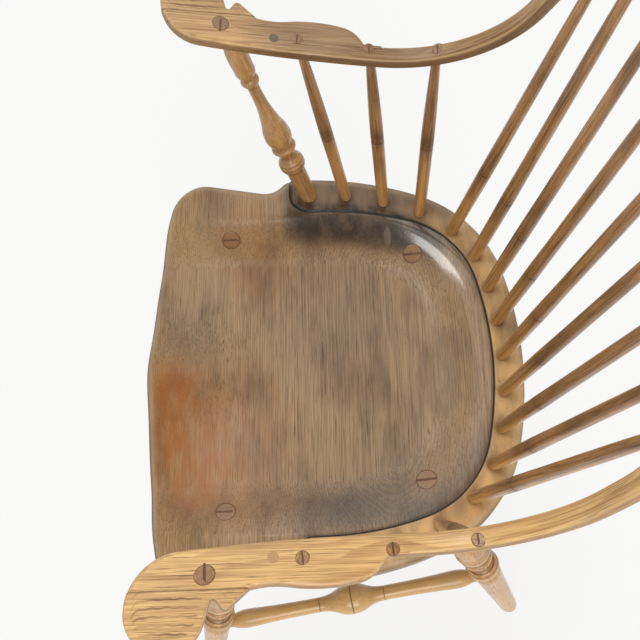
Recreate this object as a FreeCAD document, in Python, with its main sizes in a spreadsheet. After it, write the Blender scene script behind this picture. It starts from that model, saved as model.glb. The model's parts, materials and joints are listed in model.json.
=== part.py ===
import FreeCAD, Part
import math
import os
import Sketcher
from FreeCAD import Placement, Rotation, Vector

# A continuous-arm windsor chair: a carved seat, four turned legs with an H stretcher, and one bent bow
# that is both the arms and the arch of the back. Left and right are the sitter's.
# The pieces are drawn in the seat's frame, in millimetres: X to the left, Y to the back, Z up,
# with Z = 0 on the flat deck that carries the spindles. The whole chair is then tilted back and
# stood on the floor, with the origin on the floor under the middle of its box.

SIZES = {
    # Stance on the floor
    "seat_height": 445.0,
    "seat_tilt": 2.5,
    # Fits between the pieces
    "socket_clearance": 0.15,
    "socket_floor_gap": 0.5,
    "glue_gap": 0.05,
    # Seat board, seen from above
    "seat_thickness": 46.0,
    "seat_rear_reach": 212.0,
    "seat_rear_radius": 430.0,
    "seat_rear_turn": 14.0,
    "seat_quarter_radius": 155.0,
    "seat_quarter_turn": 54.0,
    "seat_side_radius": 380.0,
    "seat_side_run": 9.0,
    "seat_shoulder_radius": 16.0,
    "seat_shoulder_turn": 50.0,
    "seat_waist_radius": 26.0,
    "seat_waist_turn": 62.0,
    "seat_wing_run": 66.0,
    "seat_corner_radius": 40.0,
    "seat_corner_turn": 91.0,
    "seat_edge_round": 5.0,
    "seat_bevel_height": 20.0,
    "seat_bevel_width": 14.0,
    # Saddle carved into the seat
    "gutter_rear_reach": 178.0,
    "gutter_rear_radius": 400.0,
    "gutter_rear_turn": 14.0,
    "gutter_quarter_radius": 110.0,
    "gutter_quarter_turn": 58.0,
    "gutter_side_radius": 350.0,
    "gutter_side_run": 8.0,
    "gutter_exit_radius": 24.0,
    "gutter_depth": 2.5,
    "saddle_depth": 17.0,
    "saddle_wall_width": 65.0,
    "saddle_squareness": 2.6,
    "pommel_rise": 15.0,
    "pommel_width": 40.0,
    "pommel_length": 150.0,
    "front_roll_drop": 9.0,
    "front_roll_length": 56.0,
    # Legs
    "front_leg_side": 162.0,
    "front_leg_ahead": 118.0,
    "front_leg_splay": 16.6,
    "front_leg_rake": 10.5,
    "rear_leg_side": 134.0,
    "rear_leg_behind": 97.0,
    "rear_leg_splay": 12.6,
    "rear_leg_rake": 17.5,
    "leg_foot_diameter": 24.0,
    "leg_calf_diameter": 36.0,
    "leg_calf_height": 138.0,
    "leg_pattern_seat_height": 445.0,
    "leg_ankle_diameter": 30.0,
    "leg_ankle_height": 24.0,
    "leg_ankle_swell": 2.0,
    "leg_barrel_diameter": 45.0,
    "leg_barrel_height": 26.0,
    "leg_cove_diameter": 27.0,
    "leg_cove_height": 18.0,
    "leg_ring_diameter": 42.0,
    "leg_ring_height": 12.0,
    "leg_ring_seat_diameter": 33.0,
    "leg_baluster_diameter": 44.0,
    "leg_baluster_rise": 30.0,
    "leg_baluster_swell": 3.5,
    "leg_shoulder_swell": 2.5,
    "leg_neck_diameter": 21.0,
    "leg_neck_rise": 95.0,
    "leg_neck_hollow": 2.0,
    "leg_collar_diameter": 33.0,
    "leg_collar_height": 14.0,
    "leg_tulip_base_diameter": 25.0,
    "leg_tulip_diameter": 33.0,
    "leg_tulip_rise": 22.0,
    "leg_tulip_fall": 24.0,
    "leg_tulip_swell": 2.0,
    "leg_tenon_base_diameter": 27.5,
    "leg_tenon_tip_diameter": 20.0,
    "leg_tenon_length": 90.0,
    "leg_wedge_depth": 28.0,
    "leg_wedge_thickness": 2.4,
    # Stretchers
    "stretcher_height": 138.0,
    "stretcher_tenon_diameter": 16.0,
    "stretcher_tenon_overrun": 6.0,
    "stretcher_tenon_showing": 4.0,
    "stretcher_swell_diameter": 24.5,
    "stretcher_swell_rise": 26.0,
    "stretcher_swell_round": 1.5,
    "stretcher_run_hollow": 0.8,
    "stretcher_waist_diameter": 19.5,
    "stretcher_bulb_diameter": 40.0,
    "stretcher_bulb_length": 88.0,
    "stretcher_bulb_mid_diameter": 28.5,
    "stretcher_bulb_round": 1.6,
    "stretcher_bulb_hollow": 1.2,
    # Spindle row on the deck
    "spindle_row_inset": 23.5,
    "back_spindle_spacing": 41.7,
    "arm_spindle_spacing": 45.5,
    "spindle_seat_tenon": 22.0,
    "spindle_foot_diameter": 11.0,
    "spindle_node_diameter": 13.2,
    "spindle_neck_diameter": 9.6,
    "spindle_tip_diameter": 11.4,
    "spindle_foot_swell": 0.3,
    "spindle_shaft_swell": 0.6,
    "spindle_neck_showing": 5.0,
    "arm_spindle_node_height": 107.0,
    "back_spindle_node_height": 116.0,
    "spindle_wedge_depth": 13.0,
    "spindle_wedge_thickness": 1.6,
    # Arm posts
    "post_seat_tenon": 36.0,
    "post_seat_tip_diameter": 16.0,
    "post_foot_diameter": 20.5,
    "post_base_diameter": 22.3,
    "post_base_height": 50.0,
    "post_barrel_diameter": 30.5,
    "post_barrel_height": 21.0,
    "post_cove_diameter": 17.8,
    "post_cove_height": 15.0,
    "post_ring_diameter": 28.7,
    "post_ring_height": 10.0,
    "post_ring_seat_diameter": 22.0,
    "post_baluster_diameter": 29.0,
    "post_baluster_rise": 28.0,
    "post_baluster_swell": 2.5,
    "post_shoulder_swell": 1.8,
    "post_neck_diameter": 13.0,
    "post_neck_rise": 73.0,
    "post_neck_hollow": 1.4,
    "post_collar_diameter": 21.5,
    "post_collar_height": 11.0,
    "post_tulip_base_diameter": 15.5,
    "post_tulip_diameter": 22.0,
    "post_tulip_rise": 16.0,
    "post_tulip_swell": 1.3,
    "post_tenon_diameter": 17.4,
    "post_tenon_showing": 5.0,
    "post_wedge_depth": 14.0,
    "post_wedge_thickness": 2.0,
    # Bow: arms and back
    "bow_thickness": 15.0,
    "bow_edge_round": 4.0,
    "bow_width": 17.0,
    "arm_half_span": 235.2,
    "arm_height": 223.0,
    "arm_fall": 9.4,
    "back_lean": 22.0,
    "back_plane_reach": 81.4,
    "bend_radius": 130.0,
    "arch_run": 25.0,
    "arch_shoulder_radius": 195.0,
    "arch_shoulder_turn": 55.0,
    "arch_crest_turn": 28.0,
    "bow_spindle_spacing": 56.0,
    # Arm seen from above, measured along the arm from the start of the bend
    "arm_inner_run": 176.0,
    "arm_flare_turn": 5.7,
    "hand_front_radius": 45.0,
    "hand_glue_offset": 30.4,
    "neck_entry_turn": 15.0,
    "neck_radius": 75.0,
    "neck_turn": 24.0,
    "swell_radius": 150.0,
    "swell_turn": 21.0,
    "swell_end_radius": 30.0,
    "swell_end_turn": 43.0,
    "step_radius": 6.0,
    "hand_scroll_radius": 30.0,
    "hand_scroll_turn": 163.0,
    "hand_rear_run": 16.0,
    "notch_radius": 2.5,
    "notch_turn": 130.0,
    "ear_run": 6.0,
    "ear_radius": 4.0,
    "ear_turn": 98.0,
    "hand_edge_round": 3.0,
    "post_arm_distance": 153.5,
    "post_arm_offset": 17.5,
    "arm_spindle_1_distance": 80.0,
    "arm_spindle_1_offset": 7.0,
    "arm_spindle_2_distance": 10.0,
    "arm_spindle_2_offset": 2.5,
    "arm_spindle_3_distance": -56.0,
    "arm_spindle_3_offset": 0.0,
    "arm_plug_distance": 105.0,
    "arm_plug_offset": 8.0,
    "arm_plug_diameter": 9.0,
    "arm_plug_depth": 7.0,
}

# Working values of the drawing, not sizes of the chair
TRIM_BLOCK = 120.0
FLOOR_BLOCK = 1000.0
TRIM_OVERRUN = 10.0
WEDGE_EDGE_SHARE = 0.2
SEAM_TURN = 45.0
SADDLE_POLES = (25, 21)
SADDLE_MARGIN = 30.0

ORIGIN = Vector(0, 0, 0)
UP = Vector(0, 0, 1)
LEFT = Vector(1, 0, 0)
BACK = Vector(0, 1, 0)

document = FreeCAD.newDocument("continuous_arm_chair")
sheet = document.addObject("Spreadsheet::Sheet", "sizes")
for row, (alias, number) in enumerate(SIZES.items(), start=1):
    sheet.set(f"A{row}", alias)
    sheet.set(f"B{row}", str(number))
    sheet.setAlias(f"B{row}", alias)
document.recompute()


class Size:
    """A size as a number and, where the sheet drives it, as a formula over the sheet's cells."""

    def __init__(self, number, formula):
        self.number = number
        self.formula = formula

    def joined(self, other, sign, number):
        text = other.formula if isinstance(other, Size) else repr(float(other))
        return Size(number, f"({self.formula} {sign} {text})")

    def __add__(self, other):
        return self.joined(other, "+", self.number + plain(other))

    def __sub__(self, other):
        return self.joined(other, "-", self.number - plain(other))

    def __mul__(self, other):
        return self.joined(other, "*", self.number * plain(other))

    def __truediv__(self, other):
        return self.joined(other, "/", self.number / plain(other))


def plain(value):
    return value.number if isinstance(value, Size) else float(value)


def size(alias):
    return Size(float(sheet.get(alias)), f"sizes.{alias}")


def length(alias):
    return float(sheet.get(alias))


def fixed(number):
    """A size that follows from the chair's geometry and not from one formula."""
    return Size(float(number), repr(float(number)))


# Paths of straight runs and arcs that run on smoothly


def turned_vector(vector, degrees):
    return Rotation(UP, degrees).multVec(vector)


def tangent_path(start, heading, moves):
    """Curves of a flat path. A move is a straight length, or a radius and a turn to the right."""
    curves = []
    point = start
    for move in moves:
        ahead = turned_vector(LEFT, heading)
        if len(move) == 1:
            end = point + ahead * move[0]
            curves.append(Part.LineSegment(point, end))
        else:
            radius, turn = move
            centre = point + turned_vector(ahead, -math.copysign(90.0, turn)) * radius
            middle = centre + turned_vector(point - centre, -turn / 2)
            end = centre + turned_vector(point - centre, -turn)
            curves.append(Part.Arc(end, middle, point) if turn > 0 else Part.Arc(point, middle, end))
            heading -= turn
        point = end
    return curves, point, heading


def first_part(moves, distance):
    """The moves of a path, cut off at a distance along it."""
    kept = []
    for move in moves if distance > 0 else []:
        move_length = move[0] if len(move) == 1 else move[0] * math.radians(abs(move[1]))
        share = min(1.0, distance / move_length)
        kept.append((move[0] * share,) if len(move) == 1 else (move[0], move[1] * share))
        distance -= move_length
        if distance <= 0:
            break
    return kept


def mirrored_moves(moves):
    """The same path turning the other way."""
    return [move if len(move) == 1 else (move[0], -move[1]) for move in moves]


# Helpers that add objects to the document


def bind(target, properties):
    for name, value in properties.items():
        setattr(target, name, plain(value))
        target.setExpression(name, value.formula)


def axis_placement(start, end):
    """Local Z runs from start towards end."""
    return Placement(start, Rotation(UP, end - start))


def frame_placement(origin, across, along, upward):
    return Placement(origin, Rotation(across, along, upward, "ZYX"))


def origin_plane(body, role):
    return next(feature for feature in body.Origin.OriginFeatures if feature.Role == role)


def body_sketch(body, name, role):
    sketch = body.newObject("Sketcher::SketchObject", name)
    sketch.AttachmentSupport = [(origin_plane(body, role), "")]
    sketch.MapMode = "FlatFace"
    return sketch


def pin_point(sketch, geometry, corner, across, upward):
    """Hold one end of a curve at its distances from the sketch's two axes."""
    for kind, axis, value in (("DistanceX", -2, across), ("DistanceY", -1, upward)):
        if abs(plain(value)) < 1e-9:
            sketch.addConstraint(Sketcher.Constraint("PointOnObject", geometry, corner, axis))
            continue
        constraint = sketch.addConstraint(Sketcher.Constraint(kind, -1, 1, geometry, corner, plain(value)))
        sketch.setExpression(f"Constraints[{constraint}]", value.formula)


def profile_arc(low, high, swell):
    """An arc between two profile points that swells outwards, or hollows where the swell is negative."""
    chord = high - low
    outwards = Vector(chord.y, -chord.x, 0).normalize()
    middle = (low + high) * 0.5 + outwards * swell
    return Part.Arc(low, middle, high) if swell > 0 else Part.Arc(high, middle, low)


def turned(name, first_height, first_diameter, stretches):
    """A body turned about its own Z axis. A stretch is (height, diameter at its upper end, swell)."""
    body = document.addObject("PartDesign::Body", name)
    sketch = body_sketch(body, name + "_profile", "XZ_Plane")
    zero = fixed(0)
    heights = [first_height]
    radii = [first_diameter / 2]
    for height, diameter, _ in stretches:
        heights.append(heights[-1] + height)
        radii.append(diameter / 2)
    corners = [Vector(plain(r), plain(z), 0) for r, z in zip(radii, heights)]
    for index, (_, _, swell) in enumerate(stretches):
        low, high = corners[index], corners[index + 1]
        ends = [(1, radii[index], heights[index]), (2, radii[index + 1], heights[index + 1])]
        if swell is None:
            curve = sketch.addGeometry(Part.LineSegment(low, high))
        else:
            curve = sketch.addGeometry(profile_arc(low, high, plain(swell)))
            if plain(swell) < 0:
                ends = [(3 - corner, radius, height) for corner, radius, height in ends]
            rise = heights[index + 1] - heights[index]
            step = radii[index + 1] - radii[index]
            bend = (rise * rise + step * step + swell * swell * 4) / (swell * 8)
            if plain(swell) < 0:
                bend = bend * -1
            constraint = sketch.addConstraint(Sketcher.Constraint("Radius", curve, plain(bend)))
            sketch.setExpression(f"Constraints[{constraint}]", bend.formula)
        for corner, radius, height in ends:
            pin_point(sketch, curve, corner, radius, height)
    closing = [(radii[-1], heights[-1]), (zero, heights[-1]), (zero, heights[0]), (radii[0], heights[0])]
    for begin, end in zip(closing, closing[1:]):
        points = [Vector(plain(radius), plain(height), 0) for radius, height in (begin, end)]
        line = sketch.addGeometry(Part.LineSegment(*points))
        pin_point(sketch, line, 1, *begin)
        pin_point(sketch, line, 2, *end)
    turning = body.newObject("PartDesign::Revolution", name + "_turning")
    turning.Profile = sketch
    turning.ReferenceAxis = (sketch, ["V_Axis"])
    turning.Angle = 360.0
    return body


def padded(name, curves, thickness):
    """A body whose flat outline is the given closed run of curves."""
    body = document.addObject("PartDesign::Body", name)
    sketch = body_sketch(body, name + "_outline", "XY_Plane")
    for curve in curves:
        sketch.addConstraint(Sketcher.Constraint("Block", sketch.addGeometry(curve)))
    pad = body.newObject("PartDesign::Pad", name + "_board")
    pad.Profile = sketch
    bind(pad, {"Length": thickness})
    document.recompute()
    return body, pad


def rounded(body, base, radius, wanted):
    """Round the edges of a body's last feature whose middle points are wanted."""
    names = [f"Edge{n}" for n, edge in enumerate(base.Shape.Edges, start=1) if wanted(middle_of(edge))]
    rounding = body.newObject("PartDesign::Fillet", base.Name + "_round")
    rounding.Base = (base, names)
    bind(rounding, {"Radius": radius})
    document.recompute()
    return rounding


def middle_of(edge):
    return edge.valueAt((edge.FirstParameter + edge.LastParameter) / 2)


def seam_aside(placement):
    """The same place, turned about its own axis to take a round tool's seam off the middle plane."""
    return placement.multiply(Placement(ORIGIN, Rotation(UP, SEAM_TURN)))


def cylinder(name, placement, radius, height):
    tool = document.addObject("Part::Cylinder", name)
    bind(tool, {"Radius": radius, "Height": height})
    tool.Placement = seam_aside(placement)
    return tool


def cone(name, placement, low_radius, high_radius, height):
    tool = document.addObject("Part::Cone", name)
    bind(tool, {"Radius1": low_radius, "Radius2": high_radius, "Height": height})
    tool.Placement = seam_aside(placement)
    return tool


def block_above(name, point, normal):
    """A block that lies on a plane, to trim what stands above it."""
    tool = document.addObject("Part::Box", name)
    tool.Length = tool.Width = TRIM_BLOCK
    tool.Height = TRIM_BLOCK / 2
    tool.Placement = axis_placement(point, point + normal).multiply(
        Placement(Vector(-TRIM_BLOCK / 2, -TRIM_BLOCK / 2, 0), Rotation()))
    return tool


def kerf(name, tip, axis, across, thickness, depth, reach):
    """The tapered slot of a wedge. It opens at the tip of a tenon, whose axis points out of the slot."""
    tool = document.addObject("Part::Wedge", name)
    half = thickness / 2
    edge = half * WEDGE_EDGE_SHARE
    bind(tool, {"Xmin": edge * -1, "Xmax": edge, "X2min": half * -1, "X2max": half,
                "Ymin": depth * -1, "Ymax": fixed(0),
                "Zmin": reach * -1, "Zmax": reach, "Z2min": reach * -1, "Z2max": reach})
    thin = axis.cross(across)
    tool.Placement = Placement(tip, Rotation(thin, axis, across, "YZX"))
    return tool


def combined(kind, name, first, second):
    result = document.addObject(kind, name)
    result.Base = first
    result.Tool = second
    result.Refine = False
    return result


def gathered(name, objects):
    group = document.addObject("Part::Compound", name)
    group.Links = objects
    return group


def cut(name, base, tools):
    tool = tools[0] if len(tools) == 1 else gathered(name + "_tools", tools)
    return combined("Part::Cut", name, base, tool)


def mirror(name, source):
    copy = document.addObject("Part::Mirroring", name)
    copy.Source = source
    copy.Base = ORIGIN
    copy.Normal = LEFT
    return copy


def shaped(name, shape):
    feature = document.addObject("Part::Feature", name)
    feature.Shape = shape
    return feature


# Seat board

clearance = size("socket_clearance")
seat_moves = [
    (length("seat_rear_radius"), length("seat_rear_turn")),
    (length("seat_quarter_radius"), length("seat_quarter_turn")),
    (length("seat_side_radius"), 90.0 - length("seat_rear_turn") - length("seat_quarter_turn")),
    (length("seat_side_run"),),
    (length("seat_shoulder_radius"), length("seat_shoulder_turn")),
    (length("seat_waist_radius"), -length("seat_waist_turn")),
    (length("seat_wing_run"),),
    (length("seat_corner_radius"), length("seat_corner_turn")),
]
seat_rear = Vector(0, length("seat_rear_reach"), 0)
_, seat_corner, corner_heading = tangent_path(seat_rear, 0.0, seat_moves)
front_turn = 180.0 + corner_heading
seat_moves.append((seat_corner.x / math.sin(math.radians(front_turn)), front_turn))
left_outline, seat_front, _ = tangent_path(seat_rear, 0.0, seat_moves)
right_outline, _, _ = tangent_path(seat_rear, 180.0, mirrored_moves(seat_moves))
seat_board, seat_pad = padded("seat_board", left_outline + right_outline, size("seat_thickness"))
seat_board.Placement.Base.z = -length("seat_thickness")
document.recompute()
seat_round = rounded(seat_board, seat_pad, size("seat_edge_round"),
                     lambda point: abs(point.z - length("seat_thickness")) < 1e-6)
seat_bevel = seat_board.newObject("PartDesign::Chamfer", "seat_bevel")
seat_bevel.Base = (seat_round, [f"Edge{n}" for n, edge in enumerate(seat_round.Shape.Edges, start=1)
                                if abs(edge.BoundBox.ZMax) < 1e-6])
seat_bevel.ChamferType = "Two distances"
bind(seat_bevel, {"Size": size("seat_bevel_height"), "Size2": size("seat_bevel_width")})
document.recompute()

# Saddle: the carved hollow, its pommel and the gutter that bounds it

gutter_moves = [
    (length("gutter_rear_radius"), length("gutter_rear_turn")),
    (length("gutter_quarter_radius"), length("gutter_quarter_turn")),
    (length("gutter_side_radius"), 90.0 - length("gutter_rear_turn") - length("gutter_quarter_turn")),
    (length("gutter_side_run"),),
    (length("gutter_exit_radius"), -90.0),
]
gutter_rear = Vector(0, length("gutter_rear_reach"), 0)
_, gutter_widest, _ = tangent_path(gutter_rear, 0.0, gutter_moves[:3])
left_gutter, gutter_exit, _ = tangent_path(gutter_rear, 0.0, gutter_moves)
right_gutter, _, _ = tangent_path(gutter_rear, 180.0, mirrored_moves(gutter_moves))


def eased(share):
    """Rises smoothly from 0 to 1 as the share goes from 0 to 1."""
    share = min(1.0, max(0.0, share))
    return share * share * (3 - 2 * share)


def saddle_depth(x, y):
    """How far the saddle lies below the deck: a square-shouldered bowl, a pommel and a rolled front."""
    power = length("saddle_squareness")
    across = abs(x) / gutter_widest.x
    along = max(0.0, y - gutter_widest.y) / (gutter_rear.y - gutter_widest.y)
    inwards = (1 - (across ** power + along ** power) ** (1 / power)) * gutter_widest.x
    bowl = length("saddle_depth") * eased(inwards / length("saddle_wall_width"))
    ahead = eased((y - seat_front.y) / -length("pommel_length") + 1)
    pommel = length("pommel_rise") * ahead * math.exp(-(x / length("pommel_width")) ** 2)
    front_edge = seat_front.y + (seat_corner.y - seat_front.y) * (x / seat_corner.x) ** 2
    near_front = max(0.0, 1 - (y - front_edge) / length("front_roll_length"))
    return length("gutter_depth") + bowl - pommel + length("front_roll_drop") * near_front ** 2


def even_knots(count):
    """Knots of a cubic spline with evenly spaced spans, and where each of its poles lies from 0 to 1."""
    spans = count - 3
    knots = [0, 0, 0] + list(range(spans + 1)) + [spans, spans, spans]
    places = [sum(knots[i + 1:i + 4]) / (3 * spans) for i in range(count)]
    return list(range(spans + 1)), [4] + [1] * (spans - 1) + [4], places


def saddle_swarf():
    """The wood that is carved away: everything above the saddle, inside the gutter and out to the front."""
    half = max(seat_corner.x, gutter_exit.x) + 2 * SADDLE_MARGIN
    low, high = seat_front.y - SADDLE_MARGIN, gutter_rear.y + SADDLE_MARGIN
    x_knots, x_repeats, x_places = even_knots(SADDLE_POLES[0])
    y_knots, y_repeats, y_places = even_knots(SADDLE_POLES[1])
    xs = [half * (2 * place - 1) for place in x_places]
    ys = [low + (high - low) * place for place in y_places]
    surface = Part.BSplineSurface()
    surface.buildFromPolesMultsKnots([[Vector(x, y, -saddle_depth(x, y)) for y in ys] for x in xs],
                                     x_repeats, y_repeats, x_knots, y_knots, False, False, 3, 3)
    above = surface.toShape().extrude(UP * TRIM_BLOCK)
    corners = [gutter_exit, Vector(half, gutter_exit.y, 0), Vector(half, low, 0), Vector(-half, low, 0),
               Vector(-half, gutter_exit.y, 0), Vector(-gutter_exit.x, gutter_exit.y, 0)]
    edges = [curve.toShape() for curve in left_gutter + right_gutter]
    edges += [Part.LineSegment(a, b).toShape() for a, b in zip(corners, corners[1:])]
    region = Part.Face(Part.Wire(Part.__sortEdges__(edges)))
    region.translate(UP * -TRIM_BLOCK / 2)
    return above.common(region.extrude(UP * TRIM_BLOCK)).Solids[0]


saddle = shaped("saddle", saddle_swarf())
left_seat_tools = []
middle_seat_tools = []

# Floor, seen from the seat's frame

stance = Placement(Vector(0, 0, length("seat_height")), Rotation(LEFT, -length("seat_tilt")))
floor_block = document.addObject("Part::Box", "floor_block")
floor_block.Length = floor_block.Width = FLOOR_BLOCK
floor_block.Height = TRIM_BLOCK
floor_block.Placement = stance.inverse().multiply(
    Placement(Vector(-FLOOR_BLOCK / 2, -FLOOR_BLOCK / 2, -TRIM_BLOCK), Rotation()))


def floor_point(start, direction):
    """Where a line from the seat meets the floor."""
    high = stance.multVec(start).z
    fall = stance.Rotation.multVec(direction).z
    return start - direction * (high / fall)


# Pieces that are done: those drawn, and those mirrored from the left side to the right

pieces = []
mirrored_pieces = []


def finished(label, piece):
    piece.Label = label
    pieces.append(piece)


def both_sides(label, left_piece):
    """Keep a piece of the left side and its mirror image on the right."""
    finished(label.format("left"), left_piece)
    copy = mirror(label.format("right") + "_copy", left_piece)
    copy.Label = label.format("right")
    mirrored_pieces.append(copy)


# Legs


def leg_turning(name):
    foot = size("leg_foot_diameter")
    ankle = size("leg_ankle_diameter")
    ring_seat = size("leg_ring_seat_diameter")
    baluster = size("leg_baluster_diameter")
    neck = size("leg_neck_diameter")
    tulip_base = size("leg_tulip_base_diameter")
    tenon = size("leg_tenon_base_diameter")
    half_neck = size("leg_neck_rise") / 2
    calf = size("leg_calf_height") + size("seat_height") - size("leg_pattern_seat_height")
    return turned(name, fixed(-TRIM_OVERRUN), foot, [
        (calf + TRIM_OVERRUN, size("leg_calf_diameter"), None),
        (size("leg_ankle_height"), ankle, size("leg_ankle_swell")),
        (size("leg_barrel_height"), ankle, (size("leg_barrel_diameter") - ankle) / 2),
        (size("leg_cove_height"), ring_seat, (size("leg_cove_diameter") - (ankle + ring_seat) / 2) / 2),
        (size("leg_ring_height"), ring_seat, (size("leg_ring_diameter") - ring_seat) / 2),
        (size("leg_baluster_rise"), baluster, size("leg_baluster_swell")),
        (half_neck, (baluster + neck) / 2, size("leg_shoulder_swell")),
        (half_neck, neck, size("leg_neck_hollow") * -1),
        (size("leg_collar_height"), tulip_base, (size("leg_collar_diameter") - tulip_base) / 2),
        (size("leg_tulip_rise"), size("leg_tulip_diameter"), size("leg_tulip_swell")),
        (size("leg_tulip_fall"), tenon, size("leg_tulip_swell")),
        (size("leg_tenon_length"), size("leg_tenon_tip_diameter"), None),
    ])


LEG_STRETCHES = ["leg_calf_height", "leg_ankle_height", "leg_barrel_height", "leg_cove_height",
                 "leg_ring_height", "leg_baluster_rise", "leg_neck_rise", "leg_collar_height",
                 "leg_tulip_rise", "leg_tulip_fall"]
leg_lift = length("seat_height") - length("leg_pattern_seat_height")
tenon_start = sum(length(alias) for alias in LEG_STRETCHES) + leg_lift


def leg(name, top, direction):
    """A leg from the floor to its wedged tenon, trimmed flush in the saddle, and what fits to it."""
    foot = floor_point(top, direction)
    axis = (top - foot).normalize()
    body = leg_turning(name + "_turned")
    body.Placement = axis_placement(foot, top)
    trimmed = cut(name + "_trimmed", body, [saddle, floor_block])
    slot = kerf(name + "_kerf", top + axis, axis, BACK, size("leg_wedge_thickness"),
                size("leg_wedge_depth"), size("leg_tenon_base_diameter"))
    socket = cone(name + "_seat_socket", axis_placement(foot + axis * tenon_start, top),
                  size("leg_tenon_base_diameter") / 2 + clearance,
                  size("leg_tenon_tip_diameter") / 2 + clearance, size("leg_tenon_length"))
    left_seat_tools.append(socket)
    wedge = combined("Part::Common", name + "_wedge", trimmed, slot)
    stretcher_point = foot + axis * length("stretcher_height")
    return {"trimmed": trimmed, "kerf": slot, "wedge": wedge, "stretcher": stretcher_point}


def leg_top(side, ahead):
    return Vector(side, ahead, -saddle_depth(side, ahead))


def leg_direction(splay, rake):
    return Vector(math.tan(math.radians(splay)), math.tan(math.radians(rake)), -1.0)


legs = {
    "front": leg("front_left_leg", leg_top(length("front_leg_side"), -length("front_leg_ahead")),
                 leg_direction(length("front_leg_splay"), -length("front_leg_rake"))),
    "rear": leg("rear_left_leg", leg_top(length("rear_leg_side"), length("rear_leg_behind")),
                leg_direction(length("rear_leg_splay"), length("rear_leg_rake"))),
}

# Stretchers


def stretcher(name, start, end, carrier_radius):
    """A turned stretcher between two axes, with a tenon at each end that passes the axis it enters."""
    span = fixed((end - start).Length)
    bare = carrier_radius + size("stretcher_tenon_showing")
    tenon = size("stretcher_tenon_diameter")
    swell = size("stretcher_swell_diameter")
    waist = size("stretcher_waist_diameter")
    bulb = size("stretcher_bulb_diameter")
    quarter = size("stretcher_bulb_length") / 4
    run = span / 2 - quarter * 2 - bare - size("stretcher_swell_rise")
    halfway = size("stretcher_bulb_mid_diameter")
    swell_round = size("stretcher_swell_round")
    run_hollow = size("stretcher_run_hollow") * -1
    bulb_round = size("stretcher_bulb_round")
    bulb_hollow = size("stretcher_bulb_hollow") * -1
    body = turned(name, size("stretcher_tenon_overrun") * -1, tenon, [
        (size("stretcher_tenon_overrun") + bare, tenon, None),
        (size("stretcher_swell_rise"), swell, swell_round),
        (run, waist, run_hollow),
        (quarter, halfway, bulb_hollow),
        (quarter, bulb, bulb_round),
        (quarter, halfway, bulb_round),
        (quarter, waist, bulb_hollow),
        (run, swell, run_hollow),
        (size("stretcher_swell_rise"), tenon, swell_round),
        (size("stretcher_tenon_overrun") + bare, tenon, None),
    ])
    body.Placement = axis_placement(start, end)
    return body


def stretcher_socket(name, carrier, towards, carrier_radius):
    """The blind hole in the piece that carries a stretcher's tenon."""
    axis = (towards - carrier).normalize()
    floor = carrier - axis * (length("stretcher_tenon_overrun") + length("socket_floor_gap"))
    depth = size("stretcher_tenon_overrun") + size("socket_floor_gap") + carrier_radius + TRIM_OVERRUN
    radius = size("stretcher_tenon_diameter") / 2 + clearance
    return cylinder(name, axis_placement(floor, towards), radius, depth)


calf_radius = size("leg_calf_diameter") / 2
bulb_radius = size("stretcher_bulb_diameter") / 2
front_joint = legs["front"]["stretcher"]
rear_joint = legs["rear"]["stretcher"]
side_middle = (front_joint + rear_joint) * 0.5
other_middle = Vector(-side_middle.x, side_middle.y, side_middle.z)
for place, joint, other in (("front", front_joint, rear_joint), ("rear", rear_joint, front_joint)):
    socket = stretcher_socket(f"{place}_leg_socket", joint, other, calf_radius)
    both_sides(place + "_{}_leg", cut(f"{place}_leg_piece", legs[place]["trimmed"],
                                      [legs[place]["kerf"], socket]))
side_turning = stretcher("side_stretcher_turned", front_joint, rear_joint, calf_radius)
both_sides("{}_side_stretcher", cut("side_stretcher_piece", side_turning, [
    stretcher_socket("side_stretcher_socket", side_middle, other_middle, bulb_radius)]))
finished("centre_stretcher", stretcher("centre_stretcher_turned", other_middle, side_middle, bulb_radius))

# Bow: the back arch lies in a leaning plane, the arms run forward from a bend at each side

lean = math.radians(length("back_lean"))
inward = math.radians(90.0 - length("arch_shoulder_turn") - length("arch_crest_turn"))
back_face = Vector(0, -math.cos(lean), math.sin(lean))
back_up = Vector(0, math.sin(lean), math.cos(lean))
upright = LEFT * -math.sin(inward) + back_up * math.cos(inward)
reach = math.atan(math.tan(lean - math.radians(length("arm_fall"))) / math.cos(inward))
arm_along = back_face * -math.cos(reach) + upright * math.sin(reach)
arm_up = (upright - arm_along * math.sin(reach)).normalize()
arm_out = arm_along.cross(arm_up)
bend_turn = math.pi / 2 - reach
bend_radius = length("bend_radius")


def bend_offset(angle):
    """From the start of the bend to a point that has turned by an angle."""
    return arm_along * (bend_radius * math.sin(angle)) + arm_up * (bend_radius * (1 - math.cos(angle)))


arm_start = Vector(length("arm_half_span"), 0, length("arm_height"))
arch_foot = arm_start + bend_offset(bend_turn)
arm_start.y = length("back_plane_reach") + arch_foot.z * math.tan(lean) - arch_foot.y
arch_foot = arm_start + bend_offset(bend_turn)
shoulder_turn, crest_turn = length("arch_shoulder_turn"), length("arch_crest_turn")
shoulder_radius = length("arch_shoulder_radius")
_, arch_tail_end, _ = tangent_path(ORIGIN, -crest_turn, [(shoulder_radius, shoulder_turn),
                                                         (length("arch_run"),)])
crest_radius = (arch_foot.x - arch_tail_end.x) / math.sin(math.radians(crest_turn))
arch_moves = [(crest_radius, crest_turn), (shoulder_radius, shoulder_turn), (length("arch_run"),)]
_, arch_end, _ = tangent_path(ORIGIN, 0.0, arch_moves)
crest = arch_foot - LEFT * arch_end.x - back_up * arch_end.y


def arch_frame(distance):
    """Centre, outward direction and face direction of the bow at a distance along it from the crest."""
    _, flat, heading = tangent_path(ORIGIN, 0.0, first_part(arch_moves, distance))
    outward = turned_vector(BACK, heading)
    return crest + LEFT * flat.x + back_up * flat.y, LEFT * outward.x + back_up * outward.y, back_face


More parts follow.
